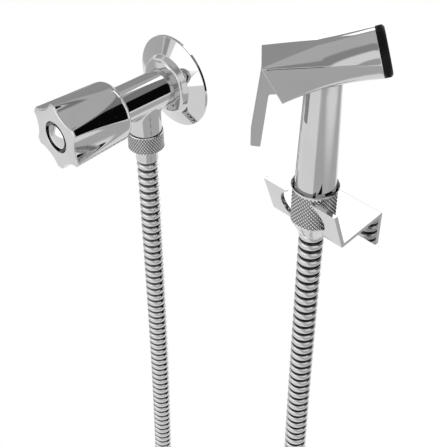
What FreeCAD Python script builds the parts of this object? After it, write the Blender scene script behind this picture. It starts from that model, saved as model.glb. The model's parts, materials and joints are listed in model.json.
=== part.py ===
"""Handheld bidet shower: wall valve, ribbed metal hose, trigger spray head and wall hook.

The frame: millimetres, +X along the wall towards the hook, +Y into the wall, +Z up. The origin is
the middle of the valve's inlet on the wall plane. A reach is a distance from the wall into the
room, and a drop is a distance below the inlet's axis.
"""
import FreeCAD, Part
import math
import os
import re
import Sketcher

Vector = FreeCAD.Vector
Rotation = FreeCAD.Rotation
Placement = FreeCAD.Placement

# Driving sizes, each a cell of the sheet: name, value, what it is.
SIZES = [
    ("fit_gap", 0.05, "radial gap of a shaft in its bore and of a thread in its nut"),
    ("seat_gap", 0.2, "gap beside a part that is seated on one face"),
    ("hinge_gap", 0.3, "gap beside a part that swings or slides past another"),
    ("overrun", 1, "how far a cutter starts outside the metal"),
    ("wall_thread_radius", 10.48, "G1/2 inlet thread, outside"),
    ("wall_thread_depth", 15, "inlet thread, length inside the wall"),
    ("wall_thread_stop", 2, "reach of the shoulder behind the inlet thread"),
    ("wall_thread_bevel", 1, "first turn of the inlet thread"),
    ("tube_radius", 11.8, "valve tube, outside"),
    ("inlet_bore", 6.5, "water way of the inlet"),
    ("seat_reach", 17, "floor of the chamber that holds the ceramic discs"),
    ("chamber_length", 36, "that chamber, from its floor to the tube's front end"),
    ("chamber_radius", 9, "chamber of the valve body"),
    ("branch_reach", 26.5, "axis of the outlet branch"),
    ("branch_radius", 10.55, "outlet branch, outside"),
    ("branch_blend", 4.8, "blend between the branch and the tube"),
    ("branch_shoulder", 24.4, "drop of the shoulder above the hose thread"),
    ("branch_drop", 32.8, "drop of the outlet's end face"),
    ("hose_thread_radius", 10.4, "G1/2 hose thread, outside"),
    ("hose_thread_bevel", 0.8, "first turn of the hose thread"),
    ("outlet_bore", 6, "water way of the outlet"),
    ("cover_radius", 30, "wall cover, rim"),
    ("cover_rim", 1.6, "wall cover, height of its rim"),
    ("cover_cone_radius", 19.6, "wall cover, top of the cone"),
    ("cover_cone_reach", 6.3, "wall cover, reach of the cone's top"),
    ("cover_boss_radius", 17.4, "wall cover, edge of the boss"),
    ("cover_boss_reach", 10.3, "wall cover, reach of the boss's edge"),
    ("cover_reach", 11, "wall cover, reach at the tube"),
    ("cover_wall", 1.1, "wall cover, thickness of the sheet"),
    ("cover_round", 3, "wall cover, rounding of the boss"),
    ("gasket_height", 1.6, "rubber seat under the discs"),
    ("disc_height", 3, "each ceramic disc"),
    ("disc_radius", 7.4, "each ceramic disc"),
    ("disc_port_radius", 6, "outer edge of the discs' ports"),
    ("disc_hub_radius", 1.8, "middle of the discs that stays closed"),
    ("disc_port_angle", 76, "width of each port in degrees"),
    ("housing_window_width", 9, "side windows of the headwork"),
    ("housing_window_length", 4.4, "side windows of the headwork"),
    ("driver_height", 3.4, "flange of the spindle that turns the upper disc"),
    ("driver_port_radius", 3, "scallops in that flange that let the water by"),
    ("key_depth", 1, "key that locks the driver into the upper disc"),
    ("key_width", 3, "key that locks the driver into the upper disc"),
    ("key_reach", 3.3, "key, from the spindle's axis to its ends"),
    ("housing_flange_height", 4, "hexagon flange of the headwork"),
    ("housing_flange_radius", 11, "hexagon flange of the headwork, over its corners"),
    ("housing_neck_radius", 6.2, "neck of the headwork"),
    ("housing_neck_length", 13, "neck of the headwork, in front of the tube"),
    ("spindle_radius", 4, "spindle"),
    ("spindle_drive_radius", 3.9, "twelve-sided end of the spindle, over its corners"),
    ("clip_height", 0.8, "spindle clip"),
    ("clip_radius", 5.4, "spindle clip, outside"),
    ("clip_groove_radius", 3.2, "bottom of the clip's groove"),
    ("clip_opening", 4.5, "mouth of the spindle clip"),
    ("seal_wire", 0.9, "housing seal, radius of its section"),
    ("seal_setback", 15.9, "housing seal, behind the tube's front end"),
    ("stem_seal_wire", 0.5, "spindle seal, radius of its section"),
    ("stem_seal_setback", 7.4, "spindle seal, behind the tube's front end"),
    ("groove_play", 0.2, "gap along the axis beside a seal in its groove"),
    ("knob_overlap", 3, "how far the knob reaches back over the tube"),
    ("knob_head", 7, "from the spindle's end to the knob's front face"),
    ("knob_rear_radius", 19, "knob, at its rear shoulder"),
    ("knob_front_radius", 21.8, "knob, over the lobes at the front"),
    ("knob_shoulder", 3.2, "rounding of the rear shoulder"),
    ("knob_bevel", 1.1, "bevel round the front face"),
    ("knob_cavity_radius", 14.4, "hollow behind the knob's front wall"),
    ("knob_cavity_setback", 2, "floor of that hollow, behind the spindle's end"),
    ("flute_count", 6, "flutes round the knob"),
    ("flute_radius", 18, "cutter of each flute"),
    ("flute_front_depth", 4.3, "depth of a flute at the front face"),
    ("flute_margin", 6, "plain stretch of the knob behind the flutes"),
    ("hub_radius", 7, "hub inside the knob"),
    ("hub_lead", 3, "from the neck's end to the hub"),
    ("hub_length", 17, "hub inside the knob"),
    ("recess_radius", 8.7, "recess in the knob's front face"),
    ("recess_depth", 2, "recess in the knob's front face"),
    ("knob_web", 2, "knob's wall between the spindle's end and the screw's head"),
    ("screw_head_radius", 3.9, "knob screw"),
    ("screw_head_height", 2.2, "knob screw"),
    ("screw_radius", 1.95, "knob screw, thread"),
    ("screw_length", 12, "knob screw, under its head"),
    ("screw_slot", 1, "cross slot of the knob screw, width and depth"),
    ("cap_radius", 7.6, "knob cap"),
    ("cap_rim", 1.4, "knob cap, height of its side"),
    ("cap_rise", 1.9, "knob cap, height of its dome"),
    ("nut_radius", 11.8, "valve end nut"),
    ("nut_top", 24.8, "drop of the nut's top"),
    ("nut_bottom", 38.2, "drop of the nut's lower face"),
    ("nut_chamfer", 1.6, "lower edge of the nut"),
    ("nut_mouth", 1, "bevel inside the nut's upper mouth"),
    ("hose_washer_height", 2, "flat rubber washers of the hose"),
    ("hose_washer_radius", 9.4, "flat rubber washers of the hose"),
    ("washer_bore", 5, "flat rubber washers of the hose"),
    ("ferrule_flange", 1.5, "flange of each hose end"),
    ("ferrule_radius", 7.3, "sleeve of each hose end"),
    ("ferrule_bore", 4, "water way of each hose end"),
    ("ferrule_drop", 47, "lower end of the valve side's sleeve"),
    ("hose_radius", 7.1, "metal hose"),
    ("holder_span", 142.5, "from the inlet's axis to the handset's axis, along the wall"),
    ("holder_setback", 4.5, "from the hook's lower fold back to the handset's axis"),
    ("cone_top", 9, "level of the cone nut's rim"),
    ("cone_rim_radius", 13, "cone nut, sharp rim"),
    ("cone_rim_land", 0.5, "cone nut, flat on top of the rim"),
    ("cone_rim_edge", 0.8, "cone nut, upright edge of the rim"),
    ("cone_rim_flare", 1.6, "cone nut, slope under the rim"),
    ("cone_mouth", 2, "bevel inside the cone nut's upper mouth"),
    ("cone_grip_radius", 12.25, "cone nut, knurled part"),
    ("cone_grip_drop", 13, "drop where the cone starts"),
    ("cone_drop", 27, "drop of the cone's end"),
    ("cone_end_radius", 7.9, "cone nut, lower end"),
    ("handset_ferrule_drop", 28.2, "lower end of the handset side's sleeve"),
    ("handle_bottom", 7, "level of the shoulder over the handset's thread"),
    ("handle_thread_drop", 5, "drop of the handset's end face"),
    ("handle_bottom_radius", 11.2, "handle at its lower end"),
    ("handle_top_radius", 9.3, "handle where it meets the head"),
    ("handle_top", 66, "level where the handle meets the head"),
    ("handle_sink", 6, "how far the handle runs up into the head"),
    ("handle_bore", 5, "water way of the handle"),
    ("head_yaw", 43.2, "the head's direction, in degrees from +X towards the wall"),
    ("head_half_width", 10, "half the width of the head's square rear end"),
    ("head_rear", -29.8, "the head's rear top edge, along the head"),
    ("head_rear_top", 81.8, "level of that edge"),
    ("head_heel", -19.2, "the head's rear lower edge, along the head"),
    ("head_heel_level", 61.9, "level of that edge"),
    ("nozzle_advance", 24.8, "middle of the nozzle's round face, along the head"),
    ("nozzle_level", 85.9, "level of that middle"),
    ("nozzle_radius", 12.5, "nozzle's round face"),
    ("nozzle_tilt", 16, "how far the nozzle looks up, in degrees"),
    ("head_corner", 0.8, "corner rounding of the square end"),
    ("face_side", 0.3, "half of each straight side left at the round face"),
    ("head_hollow", 0.9, "how far the head's back dips below straight lines"),
    ("cheek_wall", 2, "thickness of each cheek"),
    ("pocket_floor", -15, "front wall of the pocket between the cheeks"),
    ("pocket_roof", 79.2, "underside of the roof over the pocket"),
    ("pocket_overrun", 6, "how far the pocket's cutter starts outside the head"),
    ("pin_radius", 1.25, "lever pin"),
    ("pin_along", -22.5, "lever pin, along the head"),
    ("pin_level", 76.4, "lever pin"),
    ("pin_inset", 0.9, "metal left outside the pin in the near cheek"),
    ("pin_sunk", 0.3, "how far the pin's end lies under the far cheek's face"),
    ("lever_thickness", 4, "lever at its top"),
    ("lever_tip_thickness", 3.4, "lever at its tip"),
    ("lever_tip_along", -32.2, "middle of the lever's tip, along the head"),
    ("lever_tip_level", 32.5, "level of the lever's tip"),
    ("lever_top_along", -29.3, "middle of the lever at its top, along the head"),
    ("lever_boss_radius", 2.5, "round boss of the lever about its pin"),
    ("web_level", 68, "lower edge of the lever's web"),
    ("web_along", -20.2, "front of the lever's web"),
    ("lever_round", 1, "rounding of the lever's tip"),
    ("valve_level", 72.8, "axis of the plunger"),
    ("valve_bore", 4.6, "bore of the spray valve"),
    ("valve_bore_end", 8.5, "closed end of that bore, along the head"),
    ("gland_radius", 4.55, "gland nut, in its bore"),
    ("gland_head_radius", 6.2, "gland nut, head"),
    ("gland_head", 2, "gland nut, head"),
    ("gland_seat", -3, "valve seat, along the head"),
    ("gland_guide", -11, "inner end of the stem's guide, along the head"),
    ("gland_chamber", 3.3, "water chamber of the gland nut"),
    ("gland_port", 1.2, "side ports of the gland nut"),
    ("gland_port_along", -9, "side ports, along the head"),
    ("stem_radius", 2, "plunger's stem"),
    ("stem_bevel", 0.5, "rounded end of the plunger's stem"),
    ("plunger_head_radius", 4.1, "plunger's head"),
    ("plunger_head", 1.6, "plunger's head"),
    ("spring_guide", 2.5, "stub of the plunger inside the spring"),
    ("stem_ring_wire", 0.33, "plunger seal ring, radius of its section"),
    ("seal_height", 1.4, "rubber valve disc"),
    ("spring_wire", 0.35, "return spring, radius of the wire"),
    ("spring_radius", 3.3, "return spring, to the middle of the wire"),
    ("spring_turns", 4, "turns of the return spring"),
    ("gallery_radius", 1.8, "water way over the valve to the nozzle"),
    ("gallery_level", 80, "level of that water way over the valve"),
    ("nozzle_bore", 6, "water way behind the spray face"),
    ("nozzle_depth", 9, "depth of that water way"),
    ("ring_length", 4.2, "black ring in front of the nozzle"),
    ("ring_radius", 12.4, "black ring, over its ribs"),
    ("ring_bevel", 1, "black ring, bevel at its front"),
    ("ring_skirt", 5, "threaded skirt of the ring"),
    ("ring_skirt_radius", 9.4, "threaded skirt of the ring, outside"),
    ("ring_bore", 8.2, "ring, bore that holds the spray face"),
    ("ring_mouth", 7.3, "ring, front opening"),
    ("ring_lip", 1.2, "ring, lip in front of the spray face"),
    ("face_height", 1.5, "spray face"),
    ("face_hole", 0.55, "spray face, each hole"),
    ("face_hole_pitch", 2.6, "spray face, between the circles of holes"),
    ("face_hole_circles", 2, "spray face, circles of holes round the middle one"),
    ("hook_width", 48.6, "wall hook"),
    ("hook_sheet", 2.4, "wall hook, thickness"),
    ("hook_top", 12.7, "drop of the hook's top edge at the wall"),
    ("hook_bottom", 34.6, "drop of the hook's lower edge at the wall"),
    ("hook_fold_reach", 33.7, "outer corner of the lower fold"),
    ("hook_fold_drop", 17.9, "drop of that corner"),
    ("fork_top", 7, "level of the fork's top edge"),
    ("fork_lean", 20, "lean of the fork from upright, in degrees"),
    ("seat_radius", 12.05, "round seat of the cone nut"),
    ("throat_radius", 15, "round throat in the fork"),
    ("throat_drop", 5.5, "drop of the throat's middle"),
    ("slot_half", 8.3, "half the slot between the prongs"),
    ("slot_depth", 3, "straight part of the slot at the fork's top"),
    ("screw_hole_radius", 2.2, "screw holes of the hook"),
    ("screw_hole_pitch", 20, "between the screw holes"),
    ("screw_hole_drop", 26, "drop of the screw holes"),
]

# Reaches that follow from them, as formula cells of the same sheet.
PLACES = [
    ("tube_reach", "seat_reach + chamber_length", "front end of the valve tube"),
    ("holder_reach", "hook_fold_reach - holder_setback", "handset's axis"),
    ("neck_end", "tube_reach + housing_neck_length", "front end of the headwork's neck"),
    ("hub_start", "neck_end + hub_lead", "rear end of the knob's hub"),
    ("spindle_end", "hub_start + hub_length", "front end of the spindle"),
    ("seal_reach", "tube_reach - seal_setback", "housing seal"),
    ("stem_seal_reach", "tube_reach - stem_seal_setback", "spindle seal"),
    ("knob_rear", "tube_reach - knob_overlap", "rear edge of the knob"),
    ("knob_front", "spindle_end + knob_head", "front face of the knob"),
    ("knob_cavity_floor", "spindle_end - knob_cavity_setback", "floor of the hollow in the knob"),
    ("flute_end", "knob_rear + flute_margin", "where a flute runs out"),
]

# The hose's route, chosen by hand: along the wall from the valve's axis, reach, and level.
# It starts under the valve side's sleeve and ends under the handset side's sleeve.
HOSE_ROUTE = [
    (0.0, 26.5, -47.0),
    (0.0, 26.5, -186.0),
    (-2.8, 26.9, -330.0),
    (-9.2, 27.1, -456.0),
    (-11.3, 27.3, -532.0),
    (10.6, 27.5, -571.0),
    (49.0, 27.7, -593.4),
    (93.6, 27.9, -593.4),
    (132.0, 28.2, -571.0),
    (153.9, 28.5, -532.0),
    (151.6, 28.7, -456.0),
    (145.0, 28.9, -326.0),
    (142.5, 29.2, -176.0),
    (142.5, 29.2, -28.2),
]
ARC_SHARE = 0.45

doc = FreeCAD.newDocument("bidet_shower")
sheet = doc.addObject("Spreadsheet::Sheet", "Sizes")
for row, (alias, value, note) in enumerate(SIZES + PLACES, start=1):
    sheet.set("A%d" % row, alias)
    sheet.set("B%d" % row, "=" + value if isinstance(value, str) else str(value))
    sheet.set("C%d" % row, note)
    sheet.setAlias("B%d" % row, alias)
doc.recompute()

ALIASES = {alias for alias, value, note in SIZES + PLACES}
PIECES = []


def size(alias):
    """A driving size's value, read from the sheet."""
    return float(sheet.get(alias))


def formula(text):
    """The text with the sheet's name put before each driving size."""
    words = re.compile(r"[a-z][a-z_]*")
    return words.sub(lambda m: "Sizes." + m.group(0) if m.group(0) in ALIASES else m.group(0), text)


def bind(obj, **formulas):
    """Tie properties of an object to formulas of driving sizes."""
    for name, text in formulas.items():
        obj.setExpression(name, formula(text))


def keep(obj, label):
    """Name an object as a finished piece."""
    obj.Label = label
    PIECES.append(obj)
    return obj


def wall_axis(x=0.0, z=0.0):
    """Local Z runs from the wall into the room, local Y is up."""
    return Placement(Vector(x, 0, z), Rotation(Vector(1, 0, 0), 90))


def handset_axis():
    """Local Z is the handle's axis."""
    return Placement(Vector(size("holder_span"), -size("holder_reach"), 0), Rotation())


def branch_axis():
    """Local Z is the outlet's axis, upwards."""
    return Placement(Vector(0, -size("branch_reach"), 0), Rotation())


def head_frame():
    """Local X runs along the head towards the nozzle, local Z is up, from the handle's axis."""
    return handset_axis().multiply(Placement(Vector(), Rotation(Vector(0, 0, 1), size("head_yaw"))))


def along_head(level):
    """Local Z runs along the head at a level."""
    turn = Placement(Vector(0, 0, level), Rotation(Vector(0, 1, 0), 90))
    return head_frame().multiply(turn)


def nozzle_axis():
    """Local Z leaves the nozzle from the middle of its round face."""
    middle = Vector(size("nozzle_advance"), 0, size("nozzle_level"))
    turn = Rotation(Vector(0, 1, 0), 90 - size("nozzle_tilt"))
    return head_frame().multiply(Placement(middle, turn))


def plane_of(body, role):
    """One of a body's own origin planes."""
    return [(f, "") for f in body.Origin.OriginFeatures if f.Role == role]


def profile_sketch(body, name, points, role="XZ_Plane"):
    """A closed outline whose corners are tied to formulas, each a pair of texts."""
    sketch = body.newObject("Sketcher::SketchObject", name)
    sketch.AttachmentSupport = plane_of(body, role)
    sketch.MapMode = "FlatFace"
    count = len(points)
    start = [Vector(math.cos(2 * math.pi * i / count), math.sin(2 * math.pi * i / count), 0)
             for i in range(count)]
    for i in range(count):
        sketch.addGeometry(Part.LineSegment(start[i], start[(i + 1) % count]), False)
    for i in range(count):
        sketch.addConstraint(Sketcher.Constraint("Coincident", i, 2, (i + 1) % count, 1))
    for i, (across, up) in enumerate(points):
        for kind, text, now in (("DistanceX", across, start[i].x), ("DistanceY", up, start[i].y)):
            place = sketch.addConstraint(Sketcher.Constraint(kind, i, 1, now))
            sketch.setExpression("Constraints[%d]" % place, formula(text))
    doc.recompute()
    return sketch


def ring_edge(shape, radius, height):
    """The name of the round edge about local Z with this radius at this height."""
    for i, edge in enumerate(shape.Edges):
        curve = edge.Curve
        if isinstance(curve, Part.Circle) and abs(curve.Radius - radius) < 1e-4:
            if abs(curve.Center.z - height) < 1e-4 and math.hypot(curve.Center.x, curve.Center.y) < 1e-4:
                return "Edge%d" % (i + 1)
    raise ValueError("no round edge at %.2f, %.2f" % (radius, height))


def turned(name, points, place, rounds=(), bevels=()):
    """A body turned about local Z from (radius, height) texts.

    rounds and bevels give a corner's number and the driving size of its rounding or bevel.
    """
    body = doc.addObject("PartDesign::Body", name)
    sketch = profile_sketch(body, name + "_profile", points)
    turn = body.newObject("PartDesign::Revolution", name + "_turn")
    turn.Profile = sketch
    turn.ReferenceAxis = (sketch, ["V_Axis"])
    turn.Angle = 360
    body.Tip = turn
    doc.recompute()
    for kind, corners, prop in (("Fillet", rounds, "Radius"), ("Chamfer", bevels, "Size")):
        for number, text in corners:
            corner = sketch.Geometry[number].StartPoint
            base = body.Tip
            edge = ring_edge(base.Shape, corner.x, corner.y)
            dress = body.newObject("PartDesign::" + kind, "%s_%s_%d" % (name, kind.lower(), number))
            dress.Base = (base, [edge])
            dress.setExpression(prop, formula(text))
            body.Tip = dress
            doc.recompute()
    body.Placement = place
    return body


def cylinder(name, radius, height, place, **more):
    """A cylinder tied to formulas."""
    solid = doc.addObject("Part::Cylinder", name)
    bind(solid, Radius=radius, Height=height, **more)
    solid.Placement = place
    return solid


def box(name, length, width, height, place):
    """A box tied to formulas."""
    solid = doc.addObject("Part::Box", name)
    bind(solid, Length=length, Width=width, Height=height)
    solid.Placement = place
    return solid


def cut(name, base, *tools):
    """The base with every tool taken away."""
    result = base
    for i, tool in enumerate(tools):
        step = doc.addObject("Part::Cut", name if i == len(tools) - 1 else "%s_step_%d" % (name, i))
        step.Base = result
        step.Tool = tool
        result = step
    doc.recompute()
    return result


def fuse(name, *solids):
    """All the solids as one."""
    result = doc.addObject("Part::MultiFuse", name)
    result.Shapes = list(solids)
    result.Refine = True
    doc.recompute()
    return result


def shifted(place, x=0.0, y=0.0, z=0.0):
    """A placement moved along its own axes."""
    return place.multiply(Placement(Vector(x, y, z), Rotation()))


def washer(label, outer, inner, low, high, place):
    """A flat ring between two heights on local Z."""
    points = [(inner, low), (outer, low), (outer, high), (inner, high)]
    return keep(turned(label, points, place), label)


def seal_ring(label, middle, wire, place, at):
    """A round rubber ring about local Z at a height."""
    ring = doc.addObject("Part::Torus", label)
    bind(ring, Radius1=middle, Radius2=wire)
    ring.Placement = shifted(place, z=at)
    return keep(ring, label)


def make_cover():
    """The pressed cover against the wall: rim, cone, and a rounded boss round the tube."""
    points = [
        ("cover_radius", "0"),
        ("cover_radius", "cover_rim"),
        ("cover_cone_radius", "cover_cone_reach"),
        ("cover_boss_radius", "cover_boss_reach"),
        ("tube_radius + fit_gap", "cover_reach"),
        ("tube_radius + fit_gap", "cover_reach - cover_wall"),
        ("cover_boss_radius - cover_wall", "cover_boss_reach - cover_wall"),
        ("cover_cone_radius - cover_wall", "cover_cone_reach - cover_wall"),
        ("cover_radius - cover_wall", "cover_rim * 0.5"),
        ("cover_radius - cover_wall", "0"),
    ]
    rounds = [(3, "cover_round")]
    keep(turned("escutcheon", points, wall_axis(), rounds), "escutcheon")


def make_valve_body():
    """The cast T: inlet thread, tube, outlet branch blended into the tube, chamber and bores."""
    tube = turned("body_tube", [
        ("0", "-wall_thread_depth"),
        ("wall_thread_radius - wall_thread_bevel", "-wall_thread_depth"),
        ("wall_thread_radius", "wall_thread_bevel - wall_thread_depth"),
        ("wall_thread_radius", "wall_thread_stop"),
        ("tube_radius", "wall_thread_stop"),
        ("tube_radius", "tube_reach"),
        ("0", "tube_reach"),
    ], wall_axis())
    branch = turned("body_branch", [
        ("0", "-branch_drop"),
        ("hose_thread_radius - hose_thread_bevel", "-branch_drop"),
        ("hose_thread_radius", "hose_thread_bevel - branch_drop"),
        ("hose_thread_radius", "-branch_shoulder"),
        ("branch_radius", "-branch_shoulder"),
        ("branch_radius", "0"),
        ("0", "0"),
    ], branch_axis())
    solid = fuse("body_solid", tube, branch)
    blend = doc.addObject("Part::Fillet", "body_blended")
    blend.Base = solid
    radius = size("branch_blend")
    blend.Edges = [(i + 1, radius, radius) for i, edge in enumerate(solid.Shape.Edges)
                   if is_branch_seam(edge)]
    doc.recompute()
    inlet = cylinder("inlet_way", "inlet_bore", "wall_thread_depth + seat_reach",
                     shifted(wall_axis(), z=-size("wall_thread_depth")))
    chamber = cylinder("chamber", "chamber_radius", "tube_reach - seat_reach",
                       shifted(wall_axis(), z=size("seat_reach")))
    outlet = cylinder("outlet_way", "outlet_bore", "branch_drop",
                      shifted(branch_axis(), z=-size("branch_drop")))
    keep(cut("valve_body", blend, inlet, chamber, outlet), "valve_body")


def is_branch_seam(edge):
    """True for the curved edges where the branch meets the tube."""
    return not isinstance(edge.Curve, (Part.Circle, Part.Line))


def make_disc(label, low, turn, notch_text):
    """A ceramic disc with two ports; the upper one has a notch for the driver's key."""
    place = shifted(wall_axis(), z=low)
    disc = cylinder(label + "_blank", "disc_radius", "disc_height", place)
    tools = []
    for side in (0, 180):
        start = Rotation(Vector(0, 0, 1), turn + side - size("disc_port_angle") / 2)
        wedge = cylinder("%s_port_%d" % (label, side), "disc_port_radius", "disc_height",
                         place.multiply(Placement(Vector(), start)), Angle="disc_port_angle")
        hub = cylinder("%s_hub_%d" % (label, side), "disc_hub_radius", "disc_height", place)
        tools.append(cut("%s_opening_%d" % (label, side), wedge, hub))
    if notch_text:
        half = (size("key_width") + 2 * size("fit_gap")) / 2
        notch = box(label + "_notch", "key_width + 2 * fit_gap", "2 * disc_radius", "key_depth + fit_gap",
                    shifted(place, x=-half, y=-size("disc_radius"),
                            z=size("disc_height") - size("key_depth") - size("fit_gap")))
        tools.append(notch)
    keep(cut(label, disc, *tools), label)


def make_headwork():
    """The quarter-turn ceramic headwork, from its rubber seat to the clip on its neck."""
    axis = wall_axis()
    seat = size("seat_reach")
    lower = seat + size("gasket_height")
    upper = lower + size("disc_height")
    driver = upper + size("disc_height")
    washer("seat_gasket", "chamber_radius - seat_gap", "inlet_bore", "seat_reach",
           "seat_reach + gasket_height", axis)
    make_disc("fixed_disc", lower, 0, None)
    make_disc("moving_disc", upper, 90, "notch")

    inside = "seat_reach + gasket_height + 2 * disc_height + driver_height + seat_gap"
    bore = "spindle_radius + fit_gap"
    groove = "chamber_radius - 2 * seal_wire - 2 * fit_gap"
    shell = turned("headwork_shell", [
        ("disc_radius + 2 * fit_gap", "seat_reach + gasket_height"),
        ("chamber_radius - fit_gap", "seat_reach + gasket_height"),
        ("chamber_radius - fit_gap", "seal_reach - seal_wire - groove_play"),
        (groove, "seal_reach - seal_wire - groove_play"),
        (groove, "seal_reach + seal_wire + groove_play"),
        ("chamber_radius - fit_gap", "seal_reach + seal_wire + groove_play"),
        ("chamber_radius - fit_gap", "tube_reach"),
        ("housing_neck_radius", "tube_reach"),
        ("housing_neck_radius", "neck_end"),
        (bore, "neck_end"),
        (bore, inside),
        ("disc_radius + 2 * fit_gap", inside),
    ], axis)
    flange = doc.addObject("Part::Prism", "headwork_hexagon")
    flange.Polygon = 6
    bind(flange, Circumradius="housing_flange_radius", Height="housing_flange_height")
    flange.Placement = shifted(axis, z=size("tube_reach"))
    opening = cylinder("headwork_hexagon_bore", bore, "housing_flange_height",
                       shifted(axis, z=size("tube_reach")))
    nut = cut("headwork_nut", flange, opening)
    windows = box("headwork_windows", "housing_window_width", "2 * chamber_radius",
                  "housing_window_length",
                  shifted(axis, x=-size("housing_window_width") / 2, y=-size("chamber_radius"),
                          z=driver - size("key_depth")))
    core = cylinder("headwork_core", "disc_radius", "housing_window_length",
                    shifted(axis, z=driver - size("key_depth")))
    sides = cut("headwork_side_windows", windows, core)
    housing = fuse("headwork_blank", shell, nut)
    keep(cut("cartridge_housing", housing, sides), "cartridge_housing")

    neck = size("neck_end")
    stem_groove = "spindle_radius - 2 * stem_seal_wire - fit_gap"
    rod = turned("spindle_rod", [
        ("0", "seat_reach + gasket_height + 2 * disc_height"),
        ("disc_radius", "seat_reach + gasket_height + 2 * disc_height"),
        ("disc_radius", "seat_reach + gasket_height + 2 * disc_height + driver_height"),
        ("spindle_radius", "seat_reach + gasket_height + 2 * disc_height + driver_height"),
        ("spindle_radius", "stem_seal_reach - stem_seal_wire - groove_play"),
        (stem_groove, "stem_seal_reach - stem_seal_wire - groove_play"),
        (stem_groove, "stem_seal_reach + stem_seal_wire + groove_play"),
        ("spindle_radius", "stem_seal_reach + stem_seal_wire + groove_play"),
        ("spindle_radius", "neck_end + fit_gap"),
        ("clip_groove_radius", "neck_end + fit_gap"),
        ("clip_groove_radius", "neck_end + clip_height + 3 * fit_gap"),
        ("spindle_radius", "neck_end + clip_height + 3 * fit_gap"),
        ("spindle_radius", "hub_start - fit_gap"),
        ("0", "hub_start - fit_gap"),
    ], axis)
    drive = doc.addObject("Part::Prism", "spindle_drive")
    drive.Polygon = 12
    bind(drive, Circumradius="spindle_drive_radius", Height="spindle_end - hub_start + fit_gap")
    drive.Placement = shifted(axis, z=size("hub_start") - size("fit_gap"))
    ports = []
    for side in (-1, 1):
        port = cylinder("driver_port_%s" % ("left" if side < 0 else "right"), "driver_port_radius",
                        "driver_height", shifted(axis, y=side * size("disc_radius"), z=driver))
        ports.append(port)
    tapped = cylinder("spindle_tapping", "screw_radius + fit_gap", "screw_length",
                      shifted(axis, z=size("spindle_end") - size("screw_length")))
    keys = box("driver_key", "key_width", "2 * (disc_radius - key_depth)", "key_depth",
               shifted(axis, x=-size("key_width") / 2, y=-(size("disc_radius") - size("key_depth")),
                       z=driver - size("key_depth")))
    middle = cylinder("driver_key_trim", "key_reach", "key_depth",
                      shifted(axis, z=driver - size("key_depth")))
    web = doc.addObject("Part::Common", "driver_key_web")
    web.Base = keys
    web.Tool = middle
    doc.recompute()
    blank = fuse("spindle_blank", rod, drive, web)
    keep(cut("spindle", blank, *ports, tapped), "spindle")

    seal_ring("housing_o_ring", "chamber_radius - seal_wire - 1.4 * fit_gap", "seal_wire", axis,
              size("seal_reach"))
    seal_ring("spindle_o_ring", "spindle_radius - stem_seal_wire - 0.4 * fit_gap", "stem_seal_wire",
              axis, size("stem_seal_reach"))
    clip = turned("clip_ring", [
        ("clip_groove_radius + fit_gap", "neck_end + 2 * fit_gap"),
        ("clip_radius", "neck_end + 2 * fit_gap"),
        ("clip_radius", "neck_end + 2 * fit_gap + clip_height"),
        ("clip_groove_radius + fit_gap", "neck_end + 2 * fit_gap + clip_height"),
    ], axis)
    mouth = box("clip_mouth", "clip_opening", "clip_radius", "2 * clip_height",
                shifted(axis, x=-size("clip_opening") / 2, z=neck - size("fit_gap")))
    keep(cut("spindle_clip", clip, mouth), "spindle_clip")


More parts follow.
